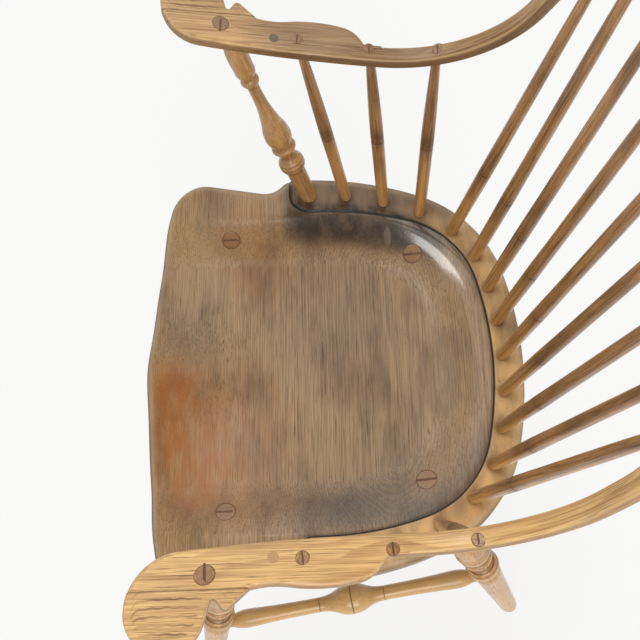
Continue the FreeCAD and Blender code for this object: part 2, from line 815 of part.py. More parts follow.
def bend_frame(angle):
    return arm_start + bend_offset(angle), arm_out, arm_up * math.cos(angle) - arm_along * math.sin(angle)


def strip_section(frame):
    """Outline of the bow across its length: a rectangle with rounded corners."""
    centre, outward, face = frame
    half_width, half_depth = length("bow_width") / 2, length("bow_thickness") / 2
    radius = length("bow_edge_round")

    def at(across, up):
        return centre + outward * across + face * up

    edges = []
    cut_corner = radius * (1 - math.sqrt(0.5))
    for sx, sy in ((1, 1), (-1, 1), (-1, -1), (1, -1)):
        side = at(sx * half_width, sy * (half_depth - radius))
        flat = at(sx * (half_width - radius), sy * half_depth)
        middle = at(sx * (half_width - cut_corner), sy * (half_depth - cut_corner))
        first, last = (side, flat) if sx * sy > 0 else (flat, side)
        edges.append((first, middle, last))
    curves = []
    for (first, middle, last), (following, _, _) in zip(edges, edges[1:] + edges[:1]):
        curves.append(Part.Arc(first, middle, last).toShape())
        curves.append(Part.LineSegment(last, following).toShape())
    return Part.Wire(curves)


def strip_face(distance):
    return Part.Face(strip_section(arch_frame(distance)))


def back_strip():
    """The bow from the start of one bend, over the crest, to the start of the other."""
    crest_length = crest_radius * math.radians(crest_turn)
    shoulder_length = shoulder_radius * math.radians(shoulder_turn)
    joint, outward, _ = arch_frame(crest_length)
    run_start = arch_frame(crest_length + shoulder_length)[0]
    middle = strip_face(crest_length).revolve(crest - back_up * crest_radius, back_face, 2 * crest_turn)
    shoulder_centre = joint - outward * shoulder_radius
    shoulder = strip_face(crest_length).revolve(shoulder_centre, back_face, -shoulder_turn)
    run = strip_face(crest_length + shoulder_length).extrude(arch_foot - run_start)
    bend = Part.Face(strip_section((arm_start, arm_out, arm_up)))
    bend = bend.revolve(arm_start + arm_up * bend_radius, arm_out, math.degrees(bend_turn))
    side = [shoulder, run, bend]
    return middle.multiFuse(side + [piece.mirror(ORIGIN, LEFT) for piece in side]).removeSplitter()


# Arm and hand outlines, drawn on the arm's own plane with the bend's start at the origin

arm_base = frame_placement(arm_start - arm_up * (length("bow_thickness") / 2), arm_out, arm_along, arm_up)
half_strip = length("bow_width") / 2
glue_line = length("hand_glue_offset")
flare = (length("arm_inner_run") / math.radians(length("arm_flare_turn")), -length("arm_flare_turn"))
inner_start = Vector(-half_strip, 0, 0)
inner_edge, hand_start, hand_heading = tangent_path(inner_start, -90.0, [flare])
front_radius = length("hand_front_radius")
glue_heading = math.degrees(math.asin(math.sin(math.radians(hand_heading))
                                      + (glue_line - hand_start.x) / front_radius))
hand_front, glue_front, _ = tangent_path(hand_start, hand_heading, [
    (front_radius, hand_heading - glue_heading)])
hand_moves = [
    (front_radius, glue_heading),
    (length("hand_scroll_radius"), -length("hand_scroll_turn")),
    (length("hand_rear_run"),),
    (length("notch_radius"), length("notch_turn")),
    (length("ear_run"),),
    (length("ear_radius"), -length("ear_turn")),
]
_, ear_end, ear_heading = tangent_path(glue_front, glue_heading, hand_moves)
hand_moves.append(((glue_line - ear_end.x) / math.cos(math.radians(ear_heading)),))
_, neck_start, _ = tangent_path(glue_front, glue_heading, hand_moves)
outer_moves = [
    (length("neck_radius"), length("neck_turn")),
    (length("swell_radius"), -length("swell_turn")),
    (length("swell_end_radius"), -length("swell_end_turn")),
]
neck_heading = 90.0 + length("neck_entry_turn")
_, swell_end, step_heading = tangent_path(neck_start, neck_heading, outer_moves)
step_turn = step_heading - 90.0
step_rounding = length("step_radius") * (1 - math.cos(math.radians(step_turn)))
step_run = (swell_end.x - half_strip - step_rounding) / math.sin(math.radians(step_turn))
outer_moves += [(step_run,), (length("step_radius"), step_turn)]
outer_edge, strip_start, _ = tangent_path(neck_start, neck_heading, outer_moves)
outer_end = Vector(half_strip, 0, 0)
arm_outline = inner_edge + hand_front + [Part.LineSegment(glue_front, neck_start)] + outer_edge
arm_outline += [Part.LineSegment(strip_start, outer_end), Part.LineSegment(outer_end, inner_start)]
arm_board, arm_pad = padded("left_arm_board", arm_outline, size("bow_thickness"))


def long_edge(point):
    """Edges of the arm's top and underside, apart from the glued face and the joint with the bend."""
    flat = min(abs(point.z), abs(point.z - length("bow_thickness"))) < 1e-6
    return flat and abs(point.x - glue_line) > 0.5 and abs(point.y) > 1e-6


rounded(arm_board, arm_pad, size("bow_edge_round"), long_edge)
arm_board.Placement = arm_base
back = shaped("bow_back", back_strip())
bow_blank = document.addObject("Part::MultiFuse", "bow_blank")
bow_blank.Shapes = [back, arm_board, mirror("right_arm_board", arm_board)]

glue_gap = Vector(length("glue_gap"), 0, 0)
hand_outline, hand_rear, _ = tangent_path(glue_front + glue_gap, glue_heading, hand_moves)
hand_outline.append(Part.LineSegment(hand_rear, glue_front + glue_gap))
hand_block, hand_pad = padded("left_hand_board", hand_outline, size("bow_thickness"))


def hand_edge(point):
    """Edges of the hand's top and underside, apart from the glued face."""
    flat = min(abs(point.z), abs(point.z - length("bow_thickness"))) < 1e-6
    return flat and point.x > glue_line + 0.5


rounded(hand_block, hand_pad, size("hand_edge_round"), hand_edge)
hand_block.Placement = arm_base
both_sides("{}_hand_block", hand_block)

# What stands between the seat and the bow

row_inset = length("spindle_row_inset")
row_moves = [(move[0] - row_inset, move[1]) for move in seat_moves[:3]] + seat_moves[3:4]
row_start = seat_rear - BACK * row_inset
back_count = 4


def row_point(distance):
    return tangent_path(row_start, 0.0, first_part(row_moves, distance))[1]


def arm_point(prefix):
    """Middle of the arm's thickness where a piece passes through, and the arm's upper face there."""
    distance = length(prefix + "_distance")
    shift = arm_out * length(prefix + "_offset")
    if distance < 0:
        centre, _, face = bend_frame(-distance / bend_radius)
        return centre + shift, face
    return arm_start - arm_along * distance + shift, arm_up


def wedged(name, body, base, centre, face, half_depth, across, wedge):
    """Trim a tenon flush with the bow's outer face and split it for its wedge."""
    axis = (centre - base).normalize()
    tip = centre + axis * (half_depth / axis.dot(face))
    trimmed = cut(name + "_trimmed", body, [block_above(name + "_trim", centre + face * half_depth, face)])
    slot = kerf(name + "_kerf", tip + axis, axis, across, size(wedge + "_thickness"),
                size(wedge + "_depth"), size("leg_tenon_base_diameter"))
    return cut(name + "_piece", trimmed, [slot]), combined("Part::Common", name + "_wedge", trimmed, slot)


def spindle(name, base, centre, face, half_depth, across, node_height):
    """A bamboo-pattern spindle with one node and a wedged tip, its wedge and its two sockets."""
    axis = (centre - base).normalize()
    span = (centre - base).Length
    crossing = half_depth / axis.dot(face)
    foot = size("spindle_foot_diameter")
    neck = size("spindle_neck_diameter")
    tip = size("spindle_tip_diameter")
    slant = length("spindle_tip_diameter") / 2 * math.tan(math.acos(axis.dot(face)))
    neck_height = span - crossing - slant - length("spindle_neck_showing")
    shaft = fixed(neck_height) - node_height
    head = fixed(span + crossing + slant + TRIM_OVERRUN - neck_height)
    body = turned(name + "_turned", size("spindle_seat_tenon") * -1, foot, [
        (size("spindle_seat_tenon"), foot, None),
        (node_height, size("spindle_node_diameter"), size("spindle_foot_swell")),
        (shaft, neck, size("spindle_shaft_swell")),
        (head, tip, None),
    ])
    body.Placement = axis_placement(base, centre)
    piece, wedge = wedged(name, body, base, centre, face, half_depth, across, "spindle_wedge")
    bow_socket = cone(name + "_bow_socket", axis_placement(base + axis * neck_height, centre),
                      neck / 2 + clearance, tip / 2 + clearance, head)
    seat_floor = base - axis * (length("spindle_seat_tenon") + length("socket_floor_gap"))
    seat_socket = cylinder(name + "_seat_socket", axis_placement(seat_floor, base), foot / 2 + clearance,
                           size("spindle_seat_tenon") + size("socket_floor_gap") + TRIM_OVERRUN)
    return piece, wedge, bow_socket, seat_socket


def post(name, base, centre, face):
    """A turned arm post: tapered foot, barrel, cove, ring, baluster, collar, tulip and wedged tenon."""
    axis = (centre - base).normalize()
    span = (centre - base).Length
    half_depth = length("bow_thickness") / 2
    crossing = half_depth / axis.dot(face)
    foot = size("post_foot_diameter")
    stem = size("post_base_diameter")
    ring_seat = size("post_ring_seat_diameter")
    baluster = size("post_baluster_diameter")
    neck = size("post_neck_diameter")
    tulip_base = size("post_tulip_base_diameter")
    tenon = size("post_tenon_diameter")
    half_neck = size("post_neck_rise") / 2
    stretches = [
        (size("post_seat_tenon"), foot, None),
        (size("post_base_height"), stem, None),
        (size("post_barrel_height"), stem, (size("post_barrel_diameter") - stem) / 2),
        (size("post_cove_height"), ring_seat, (size("post_cove_diameter") - (stem + ring_seat) / 2) / 2),
        (size("post_ring_height"), ring_seat, (size("post_ring_diameter") - ring_seat) / 2),
        (size("post_baluster_rise"), baluster, size("post_baluster_swell")),
        (half_neck, (baluster + neck) / 2, size("post_shoulder_swell")),
        (half_neck, neck, size("post_neck_hollow") * -1),
        (size("post_collar_height"), tulip_base, (size("post_collar_diameter") - tulip_base) / 2),
        (size("post_tulip_rise"), size("post_tulip_diameter"), size("post_tulip_swell")),
    ]
    used = sum(plain(height) for height, _, _ in stretches[1:])
    fall = fixed(span - crossing - used) - size("post_tenon_showing")
    head = fixed(2 * crossing + TRIM_OVERRUN) + size("post_tenon_showing")
    stretches += [(fall, tenon, size("post_tulip_swell")), (head, tenon, None)]
    body = turned(name + "_turned", size("post_seat_tenon") * -1, size("post_seat_tip_diameter"), stretches)
    body.Placement = axis_placement(base, centre)
    piece, wedge = wedged(name, body, base, centre, face, half_depth, arm_out, "post_wedge")
    bow_socket = cylinder(name + "_bow_socket", axis_placement(centre - axis * TRIM_OVERRUN * 2, centre),
                          tenon / 2 + clearance, fixed(TRIM_OVERRUN * 4))
    tip = size("post_seat_tip_diameter")
    opening = foot + (foot - tip) * TRIM_OVERRUN / size("post_seat_tenon")
    seat_socket = cone(name + "_seat_socket", axis_placement(base - axis * length("post_seat_tenon"), base),
                       tip / 2 + clearance, opening / 2 + clearance,
                       size("post_seat_tenon") + TRIM_OVERRUN)
    return piece, wedge, bow_socket, seat_socket


left_bow_tools = []
wedges = {"arm_post_wedges": [], "arm_spindle_wedges": [], "back_spindle_wedges": []}
back_reach = back_count * length("back_spindle_spacing")
half_thickness = length("bow_thickness") / 2
for number in (1, 2, 3):
    prefix = f"arm_spindle_{number}"
    base = row_point(back_reach + (4 - number) * length("arm_spindle_spacing"))
    centre, face = arm_point(prefix)
    piece, wedge, bow_socket, seat_socket = spindle(
        "left_" + prefix, base, centre, face, half_thickness, arm_out, size("arm_spindle_node_height"))
    both_sides("{}_" + prefix, piece)
    wedges["arm_spindle_wedges"].append(wedge)
    left_bow_tools.append(bow_socket)
    left_seat_tools.append(seat_socket)

post_base = row_point(back_reach + 4 * length("arm_spindle_spacing"))
piece, wedge, bow_socket, seat_socket = post("left_arm_post", post_base, *arm_point("post_arm"))
both_sides("{}_arm_post", piece)
wedges["arm_post_wedges"].append(wedge)
left_bow_tools.append(bow_socket)
left_seat_tools.append(seat_socket)

middle_bow_tools = []
middle_wedges = []
half_width = length("bow_width") / 2
for step in range(back_count + 1):
    centre, outward, _ = arch_frame(step * length("bow_spindle_spacing"))
    base = row_point(step * length("back_spindle_spacing"))
    name = f"back_spindle_{back_count + 1 + step}"
    piece, wedge, bow_socket, seat_socket = spindle(
        name, base, centre, outward, half_width, back_face, size("back_spindle_node_height"))
    finished(name, piece)
    if step == 0:
        middle_bow_tools.append(bow_socket)
        middle_seat_tools.append(seat_socket)
        middle_wedges.append(wedge)
        continue
    copy = mirror(f"back_spindle_{back_count + 1 - step}_copy", piece)
    copy.Label = f"back_spindle_{back_count + 1 - step}"
    mirrored_pieces.append(copy)
    wedges["back_spindle_wedges"].append(wedge)
    left_bow_tools.append(bow_socket)
    left_seat_tools.append(seat_socket)

# Round plugs in the arms

plug_centre, _ = arm_point("arm_plug")
plug_top = plug_centre + arm_up * half_thickness
plug_floor = plug_top - arm_up * length("arm_plug_depth")
plug = cylinder("left_arm_plug", axis_placement(plug_floor, plug_top),
                size("arm_plug_diameter") / 2 - size("socket_clearance"), size("arm_plug_depth"))
hole_floor = plug_floor - arm_up * length("socket_floor_gap")
left_bow_tools.append(cylinder("left_plug_hole", axis_placement(hole_floor, plug_top),
                               size("arm_plug_diameter") / 2, size("arm_plug_depth") + TRIM_OVERRUN))

# Pieces that take the sockets of both sides


def on_both_sides(name, left_tools, middle_tools):
    left_group = gathered(name + "_left", left_tools)
    return [left_group, mirror(name + "_right", left_group)] + middle_tools


carved = cut("seat_carved", seat_board, [saddle])
seat_sockets = on_both_sides("seat_sockets", left_seat_tools, middle_seat_tools)
bow_sockets = on_both_sides("bow_sockets", left_bow_tools, middle_bow_tools)
finished("seat", cut("seat_piece", carved, seat_sockets))
finished("arm_bow", cut("bow_piece", bow_blank, bow_sockets))
finished("leg_wedges", gathered("leg_wedge_group", on_both_sides(
    "leg_wedge", [legs["front"]["wedge"], legs["rear"]["wedge"]], [])))
for label, left_wedges in wedges.items():
    extra = middle_wedges if label == "back_spindle_wedges" else []
    finished(label, gathered(label + "_group", on_both_sides(label, left_wedges, extra)))
finished("arm_plugs", gathered("arm_plug_group", on_both_sides("arm_plug", [plug], [])))
document.recompute()

# Stand the chair on the floor, with the origin under the middle of its box

everything = Part.makeCompound([piece.Shape for piece in pieces])
everything.Placement = stance
box = everything.optimalBoundingBox()
stance.Base.y = -(box.YMin + box.YMax) / 2
for piece in pieces:
    piece.Placement = stance.multiply(piece.Placement)
document.recompute()

for item in document.Objects:
    if "Invalid" in item.State or "Error" in item.State:
        raise RuntimeError(f"{item.Name} failed: {item.State}")
for piece in pieces + mirrored_pieces:
    if piece.Shape.isNull() or not piece.Shape.isValid() or not piece.Shape.Solids:
        raise RuntimeError(f"{piece.Label} has no valid solid")

os.makedirs("parts", exist_ok=True)
for piece in pieces + mirrored_pieces:
    piece.Shape.exportStep(f"parts/{piece.Label}.step")
    print(piece.Label, len(piece.Shape.Solids), "solids", round(piece.Shape.Volume), "mm3")
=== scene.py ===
# %% [markdown]
# # A continuous-arm windsor chair
# This lesson dresses a finished chair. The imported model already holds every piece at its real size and
# place, so here each piece gets a smooth surface and a wood finish.
# The chair has a carved seat, turned legs, posts and stretchers, shaved spindles, and one long bow that
# is bent into both arms and the arch of the back.
# Sizes below are in millimetres, as on a workshop drawing, and become metres only when a mesh is made.

# %% Frame
import json
import math

import bpy
import numpy as np
from mathutils import Matrix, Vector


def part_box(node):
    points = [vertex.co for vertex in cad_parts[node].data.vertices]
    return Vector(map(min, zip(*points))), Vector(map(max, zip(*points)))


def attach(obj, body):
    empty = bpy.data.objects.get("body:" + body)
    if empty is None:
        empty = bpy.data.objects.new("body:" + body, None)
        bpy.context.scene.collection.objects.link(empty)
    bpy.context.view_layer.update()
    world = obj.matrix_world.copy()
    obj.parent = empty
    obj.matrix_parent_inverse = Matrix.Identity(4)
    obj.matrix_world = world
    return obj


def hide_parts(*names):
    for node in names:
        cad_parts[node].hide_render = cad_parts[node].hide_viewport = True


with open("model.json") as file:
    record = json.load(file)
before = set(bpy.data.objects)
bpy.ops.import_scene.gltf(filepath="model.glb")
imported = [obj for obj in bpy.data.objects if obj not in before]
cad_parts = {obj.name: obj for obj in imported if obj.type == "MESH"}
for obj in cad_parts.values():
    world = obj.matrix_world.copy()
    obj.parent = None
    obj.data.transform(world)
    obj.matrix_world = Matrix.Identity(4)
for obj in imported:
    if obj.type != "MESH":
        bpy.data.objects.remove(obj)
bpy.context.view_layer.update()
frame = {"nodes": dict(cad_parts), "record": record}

MM = 0.001
print("the packed chair has", len(frame["nodes"]), "pieces")

# %% [markdown]
# ## Paths made of runs and arcs
# Seat, gutter, arm and hand are drawn the way a joiner strikes a template: straight runs and arcs that
# flow into each other. One helper walks such a list of moves and returns points close together.
# A Bezier curve could do the same, but arcs keep the true radii of the template.


# %% Path helpers
def strike(start, heading, moves, step=1.5):
    """Points of a flat path. A move is a straight length, or a radius and a turn to the right in degrees.
    On an arc each point is the centre plus the radius turned by a growing angle."""
    parts = [np.array([start], float)]
    point, angle = np.array(start, float), math.radians(heading)
    for move in moves:
        if len(move) == 1:
            count = max(2, math.ceil(abs(move[0]) / step))
            share = np.arange(1, count + 1)[:, None] / count
            parts.append(point + share * move[0] * np.array([math.cos(angle), math.sin(angle)]))
        else:
            radius, turn = move[0], math.radians(move[1])
            count = max(4, math.ceil(radius * abs(turn) / step))
            side = math.copysign(1.0, turn)
            swept = angle - turn * np.arange(1, count + 1) / count
            centre = point + radius * side * np.array([math.sin(angle), -math.cos(angle)])
            parts.append(centre + radius * side * np.stack([-np.sin(swept), np.cos(swept)], axis=1))
            angle -= turn
        point = parts[-1][-1]
    return np.concatenate(parts), math.degrees(angle)


def mirrored(points):
    """The same points on the other side of the chair's middle plane."""
    return points * np.array([-1.0, 1.0, 1.0][:points.shape[-1]])


def along(points, distance):
    """The point of a path at a distance from its start, by straight steps between its points."""
    lengths = np.concatenate([[0.0], np.cumsum(np.linalg.norm(np.diff(points, axis=0), axis=1))])
    return np.array([np.interp(distance, lengths, points[:, axis]) for axis in range(points.shape[1])])


def distance_to(places, path, chunk=4000):
    """Signed distance from flat places to a path: the nearest point on any of its segments, positive to the
    right of the path's direction."""
    start, run = path[:-1], np.diff(path, axis=0)
    squared = np.maximum((run ** 2).sum(axis=1), 1e-12)
    answers = []
    for block in np.array_split(places, max(1, len(places) // chunk)):
        offset = block[:, None, :] - start[None, :, :]
        share = np.clip((offset * run).sum(axis=2) / squared, 0.0, 1.0)
        gap = offset - share[:, :, None] * run
        nearest = np.argmin((gap ** 2).sum(axis=2), axis=1)
        pick = np.arange(len(block))
        side = run[nearest, 1] * offset[pick, nearest, 0] - run[nearest, 0] * offset[pick, nearest, 1]
        answers.append(np.sign(side) * np.linalg.norm(gap[pick, nearest], axis=1))
    return np.concatenate(answers)


print("paths ready: a quarter turn of radius 10 ends at", strike((0, 0), 0, [(10, 90)])[0][-1].round(3))


# %% Number helpers
def eased(share):
    """Rises smoothly from 0 to 1 as the share goes from 0 to 1."""
    share = np.clip(share, 0.0, 1.0)
    return share * share * (3.0 - 2.0 * share)


def bell(distance, width):
    """A bell-shaped hump: e to the minus square of the distance over the width."""
    return np.exp(-(distance / width) ** 2)


def smoothed(values, reach, width):
    """Mean of a row of values under a bell-shaped weight."""
    weight = bell(np.arange(-reach, reach + 1), width)
    return np.convolve(np.pad(values, reach, mode="edge"), weight / weight.sum(), mode="valid")


def bunched(count):
    """Shares from 0 to 1 that lie closer together towards both ends: half of 1 minus a cosine."""
    return (1 - np.cos(np.linspace(0.0, math.pi, count))) / 2


def unit(vector):
    """The same direction with a length of 1."""
    return vector / np.linalg.norm(vector)


print("a bell is", round(bell(1.0, 1.0), 3), "high at its width")

# %% [markdown]
# ## One way to make every surface
# Every piece here is a tube of rings with its two ends closed: a turning has round rings, the bow has
# rings across its section, and the seat has rings that shrink to a point above and below.
# Two attributes ride on each mesh. "blank" is where a point lay in the straight board or billet it was
# made from, so that the grain follows the work and bends with it. "state" holds wear, dirt and tone,
# and with them painted highlights and painted shade.

# %% Surface helper
pieces = {}


def with_ends(grid):
    """A grid of rings as one list of points, with the middles of the first and of the last ring added."""
    return np.concatenate([grid.reshape(-1, 3), grid[:1].mean(axis=1), grid[-1:].mean(axis=1)])


def carry(mesh, label, grid):
    """Store three numbers at every point of a mesh, for its material to read."""
    layer = mesh.attributes.new(label, "FLOAT_VECTOR", "POINT")
    layer.data.foreach_set("vector", with_ends(grid).astype(np.float32).ravel())


def closed_tube(made, node, rings, blank, state):
    """A closed mesh from a grid of rings: four-sided faces between neighbouring rings, and a fan of
    triangles from the middle of the first and of the last ring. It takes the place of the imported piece."""
    rows, columns = rings.shape[:2]
    ring = np.arange(columns)
    after = np.roll(ring, -1)
    start = np.arange(rows - 1)[:, None] * columns
    quads = np.stack([start + ring, start + after, start + columns + after, start + columns + ring], axis=2)
    top = (rows - 1) * columns
    first_fan = np.stack([np.full(columns, rows * columns), after, ring], axis=1)
    last_fan = np.stack([np.full(columns, rows * columns + 1), top + ring, top + after], axis=1)
    faces = quads.reshape(-1, 4).tolist() + first_fan.tolist() + last_fan.tolist()
    here, above = rings[rows // 2], rings[rows // 2 + 1]
    normal = np.cross(here[1] - here[0], above[0] - here[0])
    mesh = bpy.data.meshes.new(f"{made}_{node}")
    mesh.from_pydata((with_ends(rings) * MM).tolist(), [], faces)
    if np.dot(normal, here[0] - here.mean(axis=0)) < 0:
        mesh.flip_normals()
    mesh.shade_smooth()
    carry(mesh, "blank", blank * MM)
    carry(mesh, "state", state)
    piece = bpy.data.objects.new(f"{made}_{node}", mesh)
    bpy.context.scene.collection.objects.link(piece)
    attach(piece, "root")
    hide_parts(node)
    pieces[node] = piece


print("surfaces ready: each is a closed tube of rings")

# %% [markdown]
# ## How the chair stands
# The seat is drawn level, with zero height on its flat deck, and the finished chair tips back by 2.5
# degrees. One function moves points from the seat's own frame to the floor's. How far back the chair
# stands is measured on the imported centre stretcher, which lies straight across under the seat.

# %% Stance
SEAT_HEIGHT, SEAT_TILT = 445.0, math.radians(2.5)
stand = np.array([0.0, 0.0, SEAT_HEIGHT])
tilt = np.array([[1.0, 0.0, 0.0], [0.0, math.cos(SEAT_TILT), -math.sin(SEAT_TILT)],
                 [0.0, math.sin(SEAT_TILT), math.cos(SEAT_TILT)]])


def to_floor(points):
    """Turn about the left-right axis by the tilt, then lift to seat height and slide to the chair's place."""
    return points @ tilt + stand


def from_floor(points):
    """The same move the other way, from the floor's frame to the seat's."""
    return (points - stand) @ tilt.T


print("the deck stands", SEAT_HEIGHT, "mm above the floor")

# %% [markdown]
# ## The seat's outline and its saddle
# A windsor seat is one thick plank. A scorp and a travisher hollow it into a saddle with a ridge in
# front, the pommel, and a narrow gutter divides the hollow from the deck that carries the spindles.
# A sculpted mesh would do, but the carver's hollow has a plain rule: deep in the middle, falling quickly
# from the gutter, rising at the pommel and rolling off at the front. So the seat is a formula.

# %% Seat outline
SEAT_REAR, GUTTER_REAR = (0.0, 212.0), (0.0, 178.0)
seat_moves = [(430, 14), (155, 54), (380, 22), (9,), (16, 50), (26, -62), (66,), (40, 91)]
seat_side, corner_heading = strike(SEAT_REAR, 0.0, seat_moves)
seat_corner = seat_side[-1]
front_turn = 180.0 + corner_heading
seat_moves.append((seat_corner[0] / math.sin(math.radians(front_turn)), front_turn))
seat_side, _ = strike(SEAT_REAR, 0.0, seat_moves, step=2.0)
seat_front = seat_side[-1]
seat_outline = np.concatenate([seat_side, mirrored(seat_side)[-2:0:-1]])
gutter_moves = [(400, 14), (110, 58), (350, 18), (8,), (24, -90), (60,)]
gutter_side, _ = strike(GUTTER_REAR, 0.0, gutter_moves)
gutter = np.concatenate([mirrored(gutter_side)[:0:-1], gutter_side])
gutter_widest = strike(GUTTER_REAR, 0.0, gutter_moves[:3])[0][-1]
seat_width, seat_depth = 2 * seat_side[:, 0].max(), SEAT_REAR[1] - seat_front[1]
print("the seat is", round(seat_width), "mm wide and", round(seat_depth), "deep")

# %% Saddle
BOWL_DEPTH, BOWL_EASE, BOWL_SQUARE = 17.0, 65.0, 2.6
POMMEL_HEIGHT, POMMEL_REACH, POMMEL_WIDTH = 15.0, 150.0, 40.0
ROLL_FALL, ROLL_REACH, GUTTER_STEP = 9.0, 56.0, 2.5


def saddle_depth(x, y):
    """Depth of the hollow below the deck: a step at the gutter and a square-shouldered bowl that eases in,
    less a bell-shaped pommel that fades backwards, plus a roll-off that grows with the square of the
    nearness to the front edge."""
    across = np.abs(x) / gutter_widest[0]
    back = np.maximum(0.0, y - gutter_widest[1]) / (GUTTER_REAR[1] - gutter_widest[1])
    inwards = (1 - (across ** BOWL_SQUARE + back ** BOWL_SQUARE) ** (1 / BOWL_SQUARE)) * gutter_widest[0]
    bowl = BOWL_DEPTH * eased(inwards / BOWL_EASE)
    pommel = POMMEL_HEIGHT * eased(1 - (y - seat_front[1]) / POMMEL_REACH) * bell(x, POMMEL_WIDTH)
    front_edge = seat_front[1] + (seat_corner[1] - seat_front[1]) * (x / seat_corner[0]) ** 2
    roll = ROLL_FALL * np.maximum(0.0, 1 - (y - front_edge) / ROLL_REACH) ** 2
    return GUTTER_STEP + bowl - pommel + roll


def rounded_off(distance, radius):
    """How far a rounded edge falls at a distance from the outline: a quarter circle of that radius."""
    short = np.clip(radius - distance, 0.0, radius)
    return radius - np.sqrt(np.maximum(radius ** 2 - short ** 2, 0.0))


print("the hollow is", round(float(saddle_depth(100.0, 0.0)), 1), "mm deep beside the pommel")

# %% [markdown]
# ## The bow, straight and then bent
# The real bow is one long strip, split and shaved flat, steamed, and bent round a form: the arch of the
# back first, then a sharp bend at each side, so that the ends run forward as arms. It is made here the
# same way. First the strip is a flat shape of distance along and place across. Then every point is
# carried to the bent line by three directions: along it, out of it and up from its face.
# A curve object with a bevel could not widen into the shaped arms, so the sheet of points is bent instead.

# %% Bow line
BOW_HALF_WIDTH, BOW_HALF_DEPTH, BOW_ROUND = 8.5, 7.5, 4.0
ARM_HALF_SPAN, ARM_HEIGHT, BACK_FOOT = 235.2, 223.0, 81.4
LEFT, UP = np.array([1.0, 0.0, 0.0]), np.array([0.0, 0.0, 1.0])
FAR = 1e6
lean, arm_fall = math.radians(22.0), math.radians(9.4)
crest_turn, shoulder_turn, shoulder_radius = math.radians(28.0), math.radians(55.0), 195.0
arch_run, bend_radius = 25.0, 130.0
side_heading = crest_turn + shoulder_turn
inward = math.pi / 2 - side_heading
back_face = np.array([0.0, -math.cos(lean), math.sin(lean)])
back_up = np.array([0.0, math.sin(lean), math.cos(lean)])
upright = -LEFT * math.sin(inward) + back_up * math.cos(inward)
reach = math.atan(math.tan(lean - arm_fall) / math.cos(inward))
arm_along = -back_face * math.cos(reach) + upright * math.sin(reach)
arm_up = unit(upright - arm_along * math.sin(reach))
bend_turn = math.pi / 2 - reach


def bend_offset(angle):
    """From the start of the bend to a point that has turned by an angle, on a circle of the bend's radius."""
    angle = np.asarray(angle)[..., None]
    return bend_radius * (arm_along * np.sin(angle) + arm_up * (1 - np.cos(angle)))


def arch_flat(distance, crest_radius):
    """The arch laid flat from its crest: an arc, a tighter arc and a straight run, each added as far as the
    distance reaches. Also the heading there."""
    crest_length, shoulder_length = crest_radius * crest_turn, shoulder_radius * shoulder_turn
    first = np.clip(distance, 0, crest_length) / crest_radius
    second = np.clip(distance - crest_length, 0, shoulder_length) / shoulder_radius
    third = np.clip(distance - crest_length - shoulder_length, 0, arch_run)
    swept = crest_turn + second
    x = crest_radius * np.sin(first) + shoulder_radius * (np.sin(swept) - math.sin(crest_turn))
    y = crest_radius * (np.cos(first) - 1) + shoulder_radius * (np.cos(swept) - math.cos(crest_turn))
    return x + third * math.cos(side_heading), y - third * math.sin(side_heading), first + second


foot_offset = bend_offset(bend_turn)
arm_back = BACK_FOOT + (ARM_HEIGHT + foot_offset[2]) * math.tan(lean) - foot_offset[1]
arch_foot = np.array([ARM_HALF_SPAN, arm_back, ARM_HEIGHT]) + foot_offset
tail_x = arch_flat(FAR, 1.0)[0] - math.sin(crest_turn)
CREST_RADIUS = (arch_foot[0] - tail_x) / math.sin(crest_turn)
arch_length = CREST_RADIUS * crest_turn + shoulder_radius * shoulder_turn + arch_run
bend_length = bend_radius * bend_turn
arm_begin = arch_length + bend_length
crest = arch_foot - LEFT * arch_flat(FAR, CREST_RADIUS)[0] - back_up * arch_flat(FAR, CREST_RADIUS)[1]
print("the crest's radius is", round(CREST_RADIUS), "mm, and it stands", round(crest[2]), "above the deck")


# %% Bow directions
def bow_frame(distance):
    """Centre, outward and face directions of the bow at signed distances from the crest, the left side
    positive: the flat arch, plus the turn of the bend, plus the straight arm, mirrored on the right."""
    distance = np.asarray(distance, float)
    far_along = np.abs(distance)
    x, y, heading = arch_flat(far_along, CREST_RADIUS)
    angle = bend_turn - np.clip(far_along - arch_length, 0, bend_length) / bend_radius
    arm = np.maximum(far_along - arm_begin, 0.0)[..., None]
    centre = crest + LEFT * x[..., None] + back_up * y[..., None]
    centre = centre + bend_offset(angle) - foot_offset - arm_along * arm
    outward = LEFT * np.sin(heading)[..., None] + back_up * np.cos(heading)[..., None]
    face = arm_up * np.cos(angle)[..., None] - arm_along * np.sin(angle)[..., None]
    side = np.where(distance < 0, -1.0, 1.0)[..., None] * LEFT + np.array([0.0, 1.0, 1.0])
    return centre * side, outward * side, face * side


print("an arm starts", np.round(bow_frame(np.array(arm_begin))[0]), "mm from the seat's middle")

# %% [markdown]
# ## Arm and hand outlines
# Each arm widens from the slim strip into a shaped rest, and a block glued to its outer side makes the
# rounded hand. The outlines are struck on the arm's own plane: across from the strip's middle, and
# backwards from the start of the bend.

